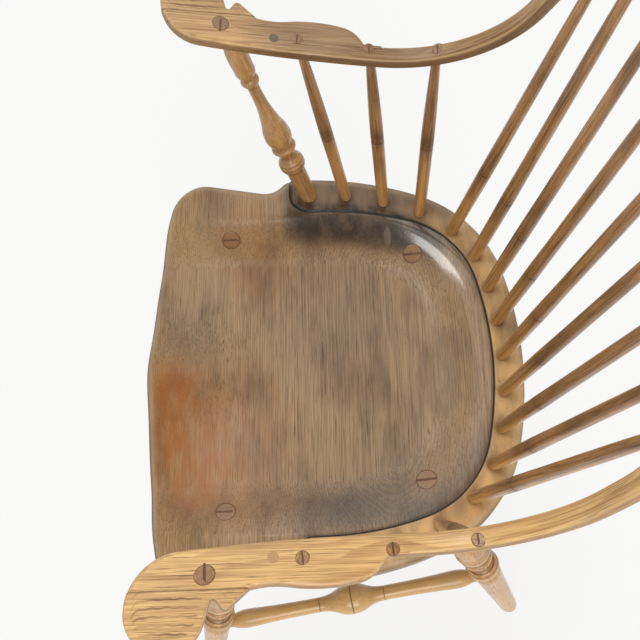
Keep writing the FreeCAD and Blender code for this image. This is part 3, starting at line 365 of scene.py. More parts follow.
# %% Arm outlines
GLUE_LINE, HAND_FRONT_RADIUS, FINE = 30.4, 45.0, 0.7
ARM_LENGTH, ARM_FLARE = 176.0, 5.7
NECK_HEADING, STEP_RADIUS = 105.0, 6.0
inner_moves = [(ARM_LENGTH / math.radians(ARM_FLARE), -ARM_FLARE)]
inner_edge, hand_heading = strike((-BOW_HALF_WIDTH, 0.0), -90.0, inner_moves)
glue_sine = math.sin(math.radians(hand_heading)) + (GLUE_LINE - inner_edge[-1, 0]) / HAND_FRONT_RADIUS
glue_heading = math.degrees(math.asin(glue_sine))
front_moves = [(HAND_FRONT_RADIUS, hand_heading - glue_heading)]
hand_front, _ = strike(inner_edge[-1], hand_heading, front_moves, FINE)
glue_front = hand_front[-1]
hand_moves = [(HAND_FRONT_RADIUS, glue_heading), (30.0, -163.0), (16.0,), (2.5, 130.0), (6.0,), (4.0, -98.0)]
hand_edge, ear_heading = strike(glue_front, glue_heading, hand_moves, FINE)
ear_run = (GLUE_LINE - hand_edge[-1, 0]) / math.cos(math.radians(ear_heading))
hand_edge, _ = strike(glue_front, glue_heading, hand_moves + [(ear_run,)], FINE)
neck_start = hand_edge[-1]
outer_moves = [(75.0, 24.0), (150.0, -21.0), (30.0, -43.0)]
swell, step_heading = strike(neck_start, NECK_HEADING, outer_moves)
step_turn = step_heading - 90.0
step_fall = STEP_RADIUS * (1 - math.cos(math.radians(step_turn)))
step_run = (swell[-1, 0] - BOW_HALF_WIDTH - step_fall) / math.sin(math.radians(step_turn))
outer_edge, _ = strike(neck_start, NECK_HEADING, outer_moves + [(step_run,), (STEP_RADIUS, step_turn)])
print("the hand reaches", round(hand_edge[:, 0].max() - GLUE_LINE), "mm out from its glue line")


# %% Board sections
def board_rings(backwards, inner, outer, edges, round_radius, across=22, sides=4):
    """Rings across a flat board, one at each place along it. A ring runs over the top from inner to outer
    edge, down the side and back underneath. The top falls away by a quarter circle near the rounded edges."""
    flat_x = inner[:, None] + (outer - inner)[:, None] * bunched(across)
    flat_y = np.repeat(backwards[:, None], across, axis=1)
    places = np.stack([flat_x.ravel(), flat_y.ravel()], axis=1)
    near = np.min([np.abs(distance_to(places, edge)) for edge in edges], axis=0).reshape(flat_x.shape)
    top = BOW_HALF_DEPTH - rounded_off(near, round_radius)
    fall = np.linspace(1.0, -1.0, sides + 2)[1:-1]
    x = np.concatenate([flat_x, np.repeat(outer[:, None], sides, 1), flat_x[:, ::-1],
                        np.repeat(inner[:, None], sides, 1)], axis=1)
    height = np.concatenate([top, top[:, -1:] * fall, -top[:, ::-1], -top[:, :1] * fall], axis=1)
    return np.stack([x, np.repeat(backwards[:, None], x.shape[1], axis=1), height], axis=2)


sample = board_rings(np.arange(2.0), np.zeros(2), np.ones(2), [inner_edge], BOW_ROUND)
print("a board ring has", sample.shape[1], "points")

# %% [markdown]
# ## Where everything stands
# Spindles and posts stand in a row on the deck, a little inside the seat's edge, and lean out to meet
# the bow. Legs come down from the saddle and splay. Each piece needs only its two end points, and a
# function that tells how far a point lies above the surface where its upper end is trimmed.

# %% Spindle and post axes
ROW_INSET, BACK_STEP, ARM_STEP, BOW_STEP = 23.5, 41.7, 45.5, 56.0
row_moves = [(radius - ROW_INSET, turn) for radius, turn in seat_moves[:3]] + [seat_moves[3]]
row, _ = strike((0.0, SEAT_REAR[1] - ROW_INSET), 0.0, row_moves, step=0.5)
arm_places = {"arm_spindle_3": (-56.0, 0.0), "arm_spindle_2": (10.0, 2.5), "arm_spindle_1": (80.0, 7.0),
              "arm_post": (153.5, 17.5)}
axes = {}


def on_deck(distance):
    """The place on the deck at a distance along the row, from the middle of the back."""
    return np.append(along(row, distance), 0.0)


def above_plane(point, normal):
    """A function that tells how far points lie above a plane."""
    return lambda points: (points - point) @ normal


def other_side(surface):
    """The same function for the mirrored surface."""
    return surface and (lambda points: surface(mirrored(points)))


for number, (name, (distance, offset)) in enumerate(arm_places.items(), start=1):
    centre, outward, face = bow_frame(np.array(arm_begin + distance))
    middle = centre + outward * offset
    axes["left_" + name] = (on_deck(4 * BACK_STEP + number * ARM_STEP), middle,
                            above_plane(middle + face * BOW_HALF_DEPTH, face))
for number in range(5):
    centre, outward, _ = bow_frame(np.array(number * BOW_STEP))
    axes[f"back_spindle_{5 + number}"] = (on_deck(number * BACK_STEP), centre,
                                          above_plane(centre + outward * BOW_HALF_WIDTH, outward))
print(len(axes), "axes on the deck, from the middle of the back to the left post")

# %% Leg and stretcher axes
STRETCHER_HEIGHT = 138.0


def above_saddle(points):
    """How far points lie above the carved hollow."""
    return points[..., 2] + saddle_depth(points[..., 0], points[..., 1])


def leg_axis(side, back, splay, rake):
    """A leg's foot and top: from the saddle straight down along the splay, until the floor is reached."""
    top = np.array([side, back, -saddle_depth(side, back)])
    down = np.array([math.tan(math.radians(splay)), math.tan(math.radians(rake)), -1.0])
    foot = top - down * (to_floor(top)[2] / (down @ tilt)[2])
    return foot, top, above_saddle


axes["front_left_leg"] = leg_axis(162.0, -118.0, 16.6, -10.5)
axes["rear_left_leg"] = leg_axis(134.0, 97.0, 12.6, 17.5)
ends = [foot + unit(top - foot) * STRETCHER_HEIGHT
        for foot, top, _ in (axes["front_left_leg"], axes["rear_left_leg"])]
axes["left_side_stretcher"] = (*ends, None)
side_middle = (ends[0] + ends[1]) / 2
low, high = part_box("centre_stretcher")
stand[1] = (low.y + high.y) / 2 / MM - to_floor(side_middle)[1]
for name, (base, tip, end) in list(axes.items()):
    number = int(name[-1]) if name.startswith("back") else 0
    if number != 5:
        other = f"back_spindle_{10 - number}" if number else name.replace("left", "right")
        axes[other] = (mirrored(base), mirrored(tip), other_side(end))
axes["centre_stretcher"] = (mirrored(side_middle), side_middle, None)
print(len(axes), "turned pieces, and the chair stands", round(stand[1], 2), "mm from its seat's middle")

# %% [markdown]
# ## Turned pieces
# Legs, posts, stretchers and spindles come off a lathe: a profile spun about an axis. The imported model
# already has every bead and cove, so the profile is read back from it: points that lie in a full circle
# about the axis are a ring of the turning, with a height and a radius.
# The lathe then adds what the plain model leaves out: scored lines, a slight softening of each edge, and
# on posts and spindles a somewhat changed outline.

# %% Profile reader
SAME_RING, SECTORS = 0.004, 24
END_RUN, SLOPE_RUN, SLOPE_LIMIT = 20.0, 4.0, 0.06


def node_points(node):
    """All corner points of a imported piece, in millimetres and in the seat's frame."""
    mesh = frame["nodes"][node].data
    flat = np.empty(len(mesh.vertices) * 3, np.float32)
    mesh.vertices.foreach_get("co", flat)
    return from_floor(flat.reshape(-1, 3).astype(float) / MM)


def turned_profile(node, base, direction):
    """Heights and radii of a turning. Points are sorted by height and split where the height jumps; a group
    that fills at least half of the sectors round the axis is a ring. Past its last rings the profile goes
    on straight, so that slanted ends find a radius too."""
    offset = node_points(node) - base
    height = offset @ direction
    beside = offset - height[:, None] * direction
    sideways = np.cross(direction, UP + LEFT)
    angle = np.arctan2(beside @ np.cross(direction, sideways), beside @ sideways)
    order = np.argsort(height)
    group = np.zeros(len(height), int)
    group[order[1:]] = np.cumsum(np.diff(height[order]) > SAME_RING)
    sector = np.clip(((angle / math.pi + 1) * SECTORS / 2).astype(int), 0, SECTORS - 1)
    filled = np.bincount(np.unique(group * SECTORS + sector) // SECTORS, minlength=group.max() + 1)
    outer = np.zeros(group.max() + 1)
    np.maximum.at(outer, group, np.linalg.norm(beside, axis=1))
    middle = np.bincount(group, weights=height) / np.bincount(group)
    full = filled >= SECTORS // 2
    heights, radii = middle[full], outer[full]
    inside = np.interp([heights[0] + SLOPE_RUN, heights[-1] - SLOPE_RUN], heights, radii)
    slopes = np.clip((inside - radii[[0, -1]]) / SLOPE_RUN, -SLOPE_LIMIT, SLOPE_LIMIT)
    low_end, high_end = radii[[0, -1]] - END_RUN * slopes
    heights = np.concatenate([[heights[0] - END_RUN], heights, [heights[-1] + END_RUN]])
    return heights, np.concatenate([[low_end], radii, [high_end]]), height.min(), height.max()


base, tip, _ = axes["centre_stretcher"]
heights, radii, _, _ = turned_profile("centre_stretcher", base, unit(tip - base))
print("the centre stretcher has", len(heights), "rings, the widest", round(2 * radii.max(), 1), "mm across")

# %% Lathe helpers
PROFILE_STEP, RING_STEP, RING_GAP, ROUNDING = 0.25, 1.3, 0.12, 1e-3
RECESS_FULL, SCORE_FULL, PROUD_FULL = 3.0, 0.35, 4.0


def above_floor(points):
    """How far points lie above the floor."""
    return to_floor(points)[..., 2]


def ring_levels(low, high, heights, scores):
    """Heights of the rings: evenly spaced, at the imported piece's rings, and close together in a score.
    A level that is an end apart from rounding is left out, so no ring is doubled there."""
    fine = [np.linspace(middle - 3 * width, middle + 3 * width, 13) for middle, _, width in scores]
    levels = np.sort(np.concatenate([np.arange(low, high, RING_STEP), heights] + fine))
    levels = levels[(levels > low + ROUNDING) & (levels < high - ROUNDING)]
    return np.concatenate([[low], levels[np.diff(levels, prepend=-FAR) > RING_GAP], [high]])


def turned_state(height, even, profile, groove, pale, grimy):
    """Paler where the profile stands out from its own wide mean, as wear and as a painted highlight on the
    beads; darker where it lies back, as dirt and as painted shade in the coves; and dark in the scores. Each
    is a share of the depth that counts as full."""
    around = smoothed(profile, 90, 36.0)
    recess_shade_and_dirt = np.clip((around - profile) / RECESS_FULL, 0, 1) + np.clip(groove / SCORE_FULL, 0, 1)
    dirt_and_shade = np.interp(height, even, np.clip(recess_shade_and_dirt, 0, 1))
    wear_and_highlight = np.interp(height, even, np.clip((profile - around) / PROUD_FULL, 0, 1))
    if pale is not None:
        wear_and_highlight = np.clip(wear_and_highlight * 0.3 + pale(height), 0, 1)
    if grimy is not None:
        dirt_and_shade = np.maximum(dirt_and_shade, grimy(height))
    return np.stack([wear_and_highlight, dirt_and_shade, np.zeros(height.shape)], axis=2)


print("rings are", RING_STEP, "mm apart on plain stretches")

# %% Lathe
END_SUNK, LEG_SUNK, TURNED_UNDER = 0.12, 0.35, 0.03
LEAN_REACH, CAP_SHARES, CAP_EDGE = 25.0, (0.93, 0.86, 0.5), 0.25


def lathe(node, offset, scores, columns, pale=None, grimy=None, cap_dirt=0.0, rim_dirt=0.6,
          reshaped=None):
    """Spin a profile about an axis: each ring is the axis point plus the radius times a turning direction.
    A score is (height, depth, width) and takes a bell-shaped groove out of the radius. Near a slanted end
    the rings lean until they lie on the end's surface, and the end closes there, a hair under its wedge."""
    base, tip, end = axes[node]
    direction = unit(tip - base)
    sideways = unit(np.cross(direction, UP + LEFT))
    turn = np.linspace(0.0, 2 * math.pi, columns, endpoint=False)
    spokes = np.cos(turn)[:, None] * sideways + np.sin(turn)[:, None] * np.cross(direction, sideways)
    heights, radii, lowest, highest = turned_profile(node, base, direction)
    even = np.arange(heights[0], heights[-1], PROFILE_STEP)
    profile = smoothed(np.interp(even, heights, radii), 6, 3.0) - TURNED_UNDER
    if reshaped is not None:
        profile = reshaped(even, profile)
    groove = sum([depth * bell(even - middle, width) for middle, depth, width in scores])

    def side(height):
        return np.interp(height, even, profile - groove)

    def settle(surface, height, radius_at):
        """Heights at which the rim meets a surface: step by the distance that is left, a few times over."""
        rate = surface(tip + direction) - surface(tip)
        for _ in range(6):
            points = base + height[:, None] * direction + radius_at(height)[:, None] * spokes
            height = height - surface(points) / rate
        return height

    low, high = np.full(columns, lowest), np.full(columns, highest)
    sunk = END_SUNK
    if node.endswith("leg"):
        low = settle(above_floor, low, side)
        sunk = LEG_SUNK
    if end is not None:
        high = settle(end, high, side) - sunk
    levels = ring_levels(low.mean(), high.mean(), heights, scores)
    near_low = np.clip(1 - (levels - levels[0]) / LEAN_REACH, 0, 1)[:, None]
    near_high = np.clip(1 - (levels[-1] - levels) / LEAN_REACH, 0, 1)[:, None]
    height = levels[:, None] + near_low * (low - levels[0]) + near_high * (high - levels[-1])
    radius = side(height)
    state = turned_state(height, even, profile, groove, pale, grimy)
    if end is not None:
        rim = radius[-1]
        cap_radii = [rim * share for share in CAP_SHARES]
        cap_heights = [settle(end, high, lambda _, short=short: short) - sunk for short in cap_radii]
        height = np.concatenate([height[:-1], [high - CAP_EDGE], cap_heights])
        radius = np.concatenate([radius[:-1], [rim], cap_radii])
        cap_dirts = [rim_dirt, 0.8 * rim_dirt, max(0.1, cap_dirt), cap_dirt]
        state = np.concatenate([state[:-1], [[(0.0, dirt_and_shade, 1.0)] * columns for dirt_and_shade in cap_dirts]])
    rings = to_floor(base + height[:, :, None] * direction + radius[:, :, None] * spokes)
    blank = np.stack([radius * np.cos(turn), radius * np.sin(turn), height], axis=2) + offset
    closed_tube("turned", node, rings, blank, state)


print("lathe ready for", len(axes), "pieces")

# %% [markdown]
# ## Legs and stretchers
# The legs are vase turnings, with a slim foot below and a fat baluster above. A side stretcher joins the
# legs on each side, and a third one ties the two together in an H. Their swellings carry scored lines,
# cut with the point of a skew chisel, which mark where the joints go.
# Feet and stretchers are where shoes rub, so they are paler than the rest. The stretchers are pale all
# over, partly as that wear and partly as painted light, as if lit from above.

# %% Legs and stretchers
LEG_SCORES = [(181.0, 0.35, 0.7), (186.0, 0.35, 0.7), (240.0, 0.3, 0.6)]
SCORE_SPREAD = 44.0
chance = np.random.default_rng(7)


def billet():
    """Each piece comes from another billet, so its grain starts somewhere else."""
    return chance.uniform(-400.0, 400.0, 3)


def pale_foot(height):
    """Rubbed pale at the foot, fading out upwards."""
    return 0.65 * (1 - eased((height - 30.0) / 130.0))


for name in [name for name in axes if name.endswith("leg")]:
    lathe(name, billet(), LEG_SCORES, 56, pale=pale_foot, cap_dirt=0.3, rim_dirt=1.0)
for name in [name for name in axes if name.endswith("stretcher")]:
    base, tip, _ = axes[name]
    halfway = float(np.linalg.norm(tip - base)) / 2
    scores = [(halfway, 0.4, 0.8)] + [(halfway + gap, 0.3, 0.6) for gap in (-SCORE_SPREAD, SCORE_SPREAD)]
    # A stretcher's full paleness is wear and painted light together.
    lathe(name, billet(), scores, 56, pale=lambda height: 1.0)
print(len(pieces), "pieces so far")

# %% [markdown]
# ## Arm posts and spindles
# The two posts under the hands repeat the legs' turning in small. The spindles are slimmer, with one
# knuckle each, as on bamboo, and a scored line at the knuckle that has filled with dark polish.
# On this chair the post's belly sits low on a long neck and the spindles are stout at the foot, so both
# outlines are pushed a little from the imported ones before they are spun.

# %% Posts and spindles
KNUCKLE_ON_ARM, KNUCKLE_ON_BACK = (107.0, 0.5, 0.8), (116.0, 0.5, 0.8)
POST_SCORES = [(55.5, 0.4, 0.6), (60.0, 0.45, 0.6), (65.5, 0.35, 0.6)]


def golden_foot(height):
    """Golden at the foot, fading out below the knuckle."""
    return 0.8 * (1 - eased((height - 40.0) / 60.0))


def dark_shaft(height):
    """A dark band round the knuckle that thins out upwards."""
    thinning = 1 - 0.6 * eased((height - 160.0) / 200.0)
    return 0.45 * bell(height - 114.0, 16.0) + 0.3 * eased((height - 100.0) / 20.0) * thinning


def low_belly(height, profile):
    """The post's profile read at moved heights, so that its belly is short and low and its neck long and
    slim, and then smoothed round the belly."""
    here = [-60, 71, 84, 93, 107, 113, 120, 127, 138, 158, 175, 183, 187, 198, 209, 232, 300]
    read = [-60, 71, 86, 96, 112, 122, 145, 156, 163, 179, 190, 195, 197, 208, 222, 236, 304]
    moved = np.interp(smoothed(np.interp(height, here, read), 20, 8.0), height, profile)
    return moved + bell(height - 117.0, 9.0) * (smoothed(moved, 40, 16.0) - moved)


def full_foot(height, profile):
    """A spindle's profile with a stouter foot and knuckle."""
    return profile + 0.7 * bell(height - 107.0, 60.0) + (1 - eased(height / 100.0))


for side, grimy_end in (("left", 0.0), ("right", 1.0)):
    lathe(side + "_arm_post", billet(), POST_SCORES, 48, grimy=lambda height: 0.2,
          cap_dirt=0.45 * grimy_end, reshaped=low_belly)
    for number in (1, 2, 3):
        lathe(f"{side}_arm_spindle_{number}", billet(), [KNUCKLE_ON_ARM], 32,
              pale=golden_foot, grimy=dark_shaft, cap_dirt=0.5 * grimy_end, reshaped=full_foot)
for number in range(1, 10):
    lathe(f"back_spindle_{number}", billet(), [KNUCKLE_ON_BACK], 32, pale=golden_foot,
          grimy=lambda height: 0.6 * dark_shaft(height), reshaped=full_foot)
print(len(pieces), "turned pieces made")

# %% [markdown]
# ## Bow and hands as meshes
# The strip's rings are laid out flat from hand to hand, and then bent. Its face is kept a third of a
# millimetre under the tenon ends, which stand a hair proud, as they do on an old chair when the softer
# wood round them has shrunk. The right half carries painted shade, a tone darker than the left, most from
# the bend on and least on the hand.

# %% Bow helpers
# The second value sets how much painted shade darkens the right side of the bow and the right hand.
FACE_SUNK, RIGHT_SHADE = 0.35, 0.7
GLUE_WIDTH, GLUE_DIRT, SIDE_SHADE_AND_DIRT = 0.7, 0.8, 0.55
glue_path = np.array([[GLUE_LINE, glue_front[1]], [GLUE_LINE, neck_start[1]]])


def board_state(rings, tone):
    """Pale along the rounded edges, as wear and as a painted highlight; darker on the sides, as painted shade
    and dirt; dark along the glue line; and with the given tone of painted shade.
    """
    upper = np.clip(np.abs(rings[:, :, 2]) / BOW_HALF_DEPTH, 0, 1)
    wear_and_highlight = np.clip(1 - np.abs(upper - 0.86) / 0.12, 0, 1)
    from_glue = distance_to(rings[:, :, :2].reshape(-1, 2), glue_path).reshape(upper.shape)
    dirt_and_shade = np.maximum(SIDE_SHADE_AND_DIRT * (1 - eased((upper - 0.5) / 0.35)), GLUE_DIRT * bell(from_glue, GLUE_WIDTH))
    return np.stack([wear_and_highlight, dirt_and_shade, np.broadcast_to(tone, upper.shape)], axis=2)


def bent(rings, side):
    """Carry flat rings to the bent line: centre, plus across times outward, plus height times face."""
    centre, outward, face = bow_frame(side * (arm_begin - rings[:, 0, 1]))
    height = rings[:, :, 2:] - FACE_SUNK * np.sign(rings[:, :, 2:])
    return centre[:, None, :] + rings[:, :, :1] * outward[:, None, :] + height * face[:, None, :]


print("the glue line is", round(neck_start[1] - glue_front[1]), "mm long")

# %% Bow mesh
PAST_END, THINNEST = 20.0, 0.1
arm_y = glue_front[1] * (1 - bunched(160))
inner_line = np.concatenate([hand_front[::-1], inner_edge[::-1]])
outer_line = np.concatenate([[glue_front], outer_edge, [[BOW_HALF_WIDTH, 0.0]]])
inner_x = np.interp(arm_y, inner_line[:, 1], inner_line[:, 0]) + FACE_SUNK
outer_x = np.interp(arm_y, outer_line[:, 1], outer_line[:, 0])
outer_x = np.maximum(outer_x - FACE_SUNK * (arm_y > neck_start[1]), inner_x + THINNEST)
arm_rings = board_rings(arm_y, inner_x, outer_x, [inner_line, outer_edge], BOW_ROUND)
strip_y = np.linspace(0.0, arm_begin, 420)[1:]
strip = np.full(len(strip_y), BOW_HALF_WIDTH - FACE_SUNK)
strip_edges = [np.array([[edge, -PAST_END], [edge, arm_begin + PAST_END]])
               for edge in (-BOW_HALF_WIDTH, BOW_HALF_WIDTH)]
strip_rings = board_rings(strip_y, -strip, strip, strip_edges, BOW_ROUND)
half_bow = np.concatenate([arm_rings, strip_rings])
other_half = half_bow[-2::-1]
bow_rings = to_floor(np.concatenate([bent(half_bow, 1.0), bent(other_half, -1.0)]))
travel = np.concatenate([arm_begin - half_bow[:, 0, 1], other_half[:, 0, 1] - arm_begin])
flat_bow = np.concatenate([half_bow, other_half])
bow_blank = np.stack([flat_bow[:, :, 0], flat_bow[:, :, 2],
                      np.repeat(travel[:, None], flat_bow.shape[1], axis=1)], axis=2)
# The right half's tone is painted shade: it grows from the crest to the start of the right arm, and is
# lighter on the hand.
on_hand = eased((-travel - arm_begin - 90.0) / 60.0)
bow_shade = RIGHT_SHADE * (1.4 * eased(-travel / arm_begin) - 0.75 * on_hand)
closed_tube("bent", "arm_bow", bow_rings, bow_blank, board_state(flat_bow, bow_shade[:, None]))
print("the bow is", round(2 * travel.max() * MM, 2), "m long when straight")

# %% [markdown]
# ## Hand blocks
# A hand block is cut from a flat-sawn offcut, so its face shows long closed loops, where the saw has just
# grazed one year's ring after another. The loops are drawn as dark lines in the mesh's dirt, because the
# grain of the material has no reason to close at this place.

# %% Hand blocks
GLUE_GAP, HAND_UNDER, HAND_ROUND = 0.05, 0.1, 2.0
LOOP_MIDDLE, LOOP_SPACING, LOOP_LENGTH, LOOP_WIDTH = (34.0, 38.0), 6.2, 34.0, 0.11
foremost = int(np.argmin(hand_edge[:, 1]))
hand_front_y, hand_rear_y = hand_edge[foremost, 1], neck_start[1]
hand_y = hand_front_y + (hand_rear_y - hand_front_y) * bunched(160)
hand_inner = np.interp(hand_y, np.append(hand_edge[foremost::-1, 1], [hand_rear_y]),
                       np.append(hand_edge[foremost::-1, 0], [GLUE_LINE]))
hand_outer = np.interp(hand_y, hand_edge[foremost:, 1], hand_edge[foremost:, 0])
hand_outer = np.maximum(hand_outer - HAND_UNDER, hand_inner + HAND_UNDER)
hand_rings = board_rings(hand_y, hand_inner + GLUE_GAP, hand_outer, [hand_edge], HAND_ROUND, across=110)
hand_flat = hand_rings[:, :, :2].reshape(-1, 2)
hand_across, hand_along = hand_flat.T
from_edge = np.abs(distance_to(hand_flat, hand_edge))
beside = np.abs(hand_across - GLUE_LINE - LOOP_MIDDLE[0])
lengthways = np.abs(hand_along - hand_front_y - LOOP_MIDDLE[1])
wobble = 0.05 * np.sin(hand_along / 8.0 + hand_across / 17.0) + 0.05 * np.sin(hand_along / 1.7)
cycle = (beside / LOOP_SPACING + 2.4 * (lengthways / LOOP_LENGTH) ** 12 + wobble) % 1.0 - 0.5
fade = eased((from_edge - 5.0) / 2.0) * (0.7 + 0.3 * np.sin(hand_across / 4.0 + hand_along / 9.0))
loops = (bell(cycle, LOOP_WIDTH) * fade).reshape(hand_rings.shape[:2])
for side, sign in (("left", 1.0), ("right", -1.0)):
    # The right hand block carries painted shade, as much as the right arm's end.
    hand_state = board_state(hand_rings, 0.65 * RIGHT_SHADE * (sign < 0))
    hand_state[:, :, 1] = np.maximum(hand_state[:, :, 1], loops)
    closed_tube("shaped", side + "_hand_block", to_floor(bent(hand_rings, sign)),
                hand_rings[:, :, [0, 2, 1]] + billet(), hand_state)
print("hand blocks have", len(hand_rings), "rings each")

# %% [markdown]
# ## Seat mesh
# The plank's rings start under its middle, spread to the bevelled lower edge, climb the side and close
# over the top towards the middle again. Rings lie closer together near the gutter and the rim, where the
# surface turns quickly. Every height comes from the saddle's rule and from the distance to the two paths.

# %% Seat top
SEAT_THICKNESS, BEVEL_HEIGHT, BEVEL_WIDTH, RIM_ROUND = 46.0, 20.0, 14.0, 8.0
TOP_SUNK, GROOVE_DEPTH, GROOVE_WIDTH, WALL_WIDTH = 0.6, 1.1, 1.2, 3.0
SEAT_MIDDLE, SEAT_REACH, SEAT_COLUMNS = np.array([0.0, -20.0]), 234.0, 700
RIM_ZONE, OFF_RIM = 45.0, 99.0
closed_outline = np.concatenate([seat_outline, seat_outline[:1]])
around = np.linalg.norm(np.diff(closed_outline, axis=0), axis=1).sum()
outline_columns = along(closed_outline, np.linspace(0, around, SEAT_COLUMNS, endpoint=False)).T


def spread(inset):
    """Flat rings over the plank: the outline shrunk towards the middle by each inset's share of the reach."""
    return SEAT_MIDDLE + (1 - inset / SEAT_REACH)[:, None, None] * (outline_columns - SEAT_MIDDLE)


inset = np.concatenate([[0, 0.35, 0.8, 1.4, 2.2, 3.2, 4.3, 5.6], np.arange(7.0, 15.0, 1.6),
                        np.arange(15.0, 54.0, 1.0), np.arange(54.0, 232.0, 3.6)])
flat_top = spread(inset)
places = flat_top.reshape(-1, 2)
x, y = places.T
to_gutter = distance_to(places, gutter)
near_rim = np.full(len(places), OFF_RIM)
rim_zone = np.repeat(inset < RIM_ZONE, SEAT_COLUMNS)
near_rim[rim_zone] = np.abs(distance_to(places[rim_zone], closed_outline))
in_saddle = eased(to_gutter / WALL_WIDTH + 0.5)
groove = GROOVE_DEPTH * bell(to_gutter, GROOVE_WIDTH)
rim_round = RIM_ROUND + eased((-70.0 - y) / 60.0)
top_z = -in_saddle * saddle_depth(x, y) - groove - TOP_SUNK - rounded_off(near_rim, rim_round)
top = np.concatenate([flat_top, top_z.reshape(flat_top.shape[:2] + (1,))], axis=2)
print("the gutter is", round(float(groove.max()), 1), "mm deep, and the top has", len(places), "points")

# %% Seat rings
under_inset = np.array([230.0, 170.0, 110.0, 60.0, 30.0, BEVEL_WIDTH + 2, BEVEL_WIDTH, 9.0, 4.0, 0.0])
wall_foot = np.minimum(-SEAT_THICKNESS + BEVEL_HEIGHT, top[0, :, 2] - 3.0)
bevel_share = np.clip(1 - under_inset / BEVEL_WIDTH, 0, 1)[:, None]
under_z = -SEAT_THICKNESS + (wall_foot + SEAT_THICKNESS) * bevel_share
under = np.concatenate([spread(under_inset), under_z[:, :, None]], axis=2)
climb = np.linspace(0, 1, 7)[1:-1][:, None, None]
wall = under[-1] + climb * (top[0] - under[-1])
seat_rings = np.concatenate([under, wall, top])
print("the seat has", len(seat_rings), "rings")

# %% [markdown]
# ## Stains, wear and painted shade on the seat
# The finish is warm in front, where it was rubbed and refinished. The right wall of the hollow is nearly
# black, and a patch on the left wall is darker and greyer; both are painted shade. Elsewhere it is grey
# where cloth has polished it, and it is pale along the rim, partly as wear and partly as a painted
# highlight. Such stains could be painted by hand. Soft round patches and bands along the gutter say the
# same in a few numbers, and stay with the shape.


# %% Seat stains and painted shade
def patches(spots):
    """Soft patches of stain, wear and painted shade: each spot is a bell-shaped hump with a middle, two
    widths and an amount.
    """
    return sum(amount * bell(x - middle_x, wide) * bell(y - middle_y, deep)
               for middle_x, middle_y, wide, deep, amount in spots)


right_deck = (to_gutter < 0) * eased((-150.0 - x) / 50.0)
# A band of painted shade, nearly black, on the right wall of the hollow.
right_wall_shade = np.exp(-((to_gutter - 18.0) / 22.0) ** 4) * eased((-100.0 - x) / 50.0)
right_wall_shade = right_wall_shade * eased((y + 66.0) / 24.0) * (1 - eased((y - 115.0) / 40.0))
rear_left = (to_gutter > 0) * bell(to_gutter - 5.0, 14.0)
rear_left = rear_left * eased((x - 70.0) / 40.0) * eased((y - 50.0) / 40.0)
warm = patches([(28, -178, 40, 28, 1.2), (80, -195, 45, 28, 0.8), (120, -150, 60, 50, 0.75),
                (-118, -85, 38, 32, 0.55), (80, -100, 90, 55, 0.6), (-180, -110, 50, 60, 0.3),
                (165, 140, 40, 40, 0.4)])
# Darker patches: the one on the left wall of the hollow is painted shade. Below, the right wall's band adds
# painted shade, and the right deck and the rear left are made darker.
dark = patches([(-210, -130, 32, 18, 0.4), (168, 15, 24, 75, 0.35)])
dark = dark + right_wall_shade + 0.85 * right_deck + 0.12 * rear_left
# Greyer patches: the one on the left wall of the hollow is painted shade.
grey_and_shade = patches([(-51, -165, 40, 30, 0.5), (159, 15, 28, 70, 0.9), (111, 70, 50, 40, 0.5),
                (-60, 22, 70, 70, 0.45)])
grey_and_shade = grey_and_shade + 0.3 * right_deck + 0.7 * rear_left
rubbed = patches([(30, 118, 80, 34, 0.45), (130, -120, 60, 60, 0.22), (-120, -165, 80, 40, 0.35)])
# Pale along the rim: wear, and a painted highlight on the rounded edge.
wear_and_highlight = 0.9 * bell(near_rim - 5.0, 3.5) + rubbed
# Darker right at the rim, and in a ring round the foot of each spindle and post, which is painted shade where
# the pieces meet as well as dirt.
dirt_and_shade = 0.5 * bell(near_rim, 2.5)
for name, (foot, _, _) in axes.items():
    if "spindle" in name or "post" in name:
        past_tenon = np.maximum(0, np.linalg.norm(places - foot[:2], axis=1) - 6.0)
        dirt_and_shade = np.maximum(dirt_and_shade, 0.7 * np.exp(-past_tenon / 2.5))
print("stains reach", round(float(warm.max()), 2), "warm,", round(float(dark.max()), 2), "dark")

# %% Seat mesh
GUTTER_LIMIT = 40.0


def over_seat(layers, elsewhere=(0.0, 0.0, 0.0)):
    """Three values for each point of the top, and others for the side and the underside."""
    upper = np.stack([layer.reshape(flat_top.shape[:2]) for layer in layers], axis=2)
    return np.concatenate([np.broadcast_to(elsewhere, (len(under) + len(wall),) + upper.shape[1:]), upper])


seat_state = over_seat([np.clip(layer, 0, 1) for layer in (wear_and_highlight, dirt_and_shade, grey_and_shade)])
closed_tube("carved", "seat", to_floor(seat_rings), seat_rings[:, :, [1, 2, 0]], seat_state)
from_gutter = np.where(near_rim < OFF_RIM, to_gutter, np.abs(to_gutter))
from_gutter = np.clip(from_gutter, -GUTTER_LIMIT, GUTTER_LIMIT)
# The zone's dark value carries the stains and the painted shade of both walls; the side and underside get a
# little of it.
seat_zone = over_seat([np.clip(warm, 0, 1), np.clip(dark, 0, 1), from_gutter], (0.0, 0.35, GUTTER_LIMIT))
carry(pieces["seat"].data, "zone", seat_zone)
print("the seat has", len(pieces["seat"].data.polygons), "faces")

# %% [markdown]
# ## Shader nodes in words
# A material is a small graph. One helper adds a node and sets or links its inputs, so that the wood
# below reads as a recipe. Colours are written as the eye sees them, 0 to 255, and turned to linear light.


# %% Node helper
def tint(red, green, blue):
    """A colour as seen on a screen, turned to linear light: a straight part near black and a power above."""
    seen = np.array([red, green, blue]) / 255.0
    linear = np.where(seen <= 0.04045, seen / 12.92, ((seen + 0.055) / 1.055) ** 2.4)
    return (*[float(value) for value in linear], 1.0)


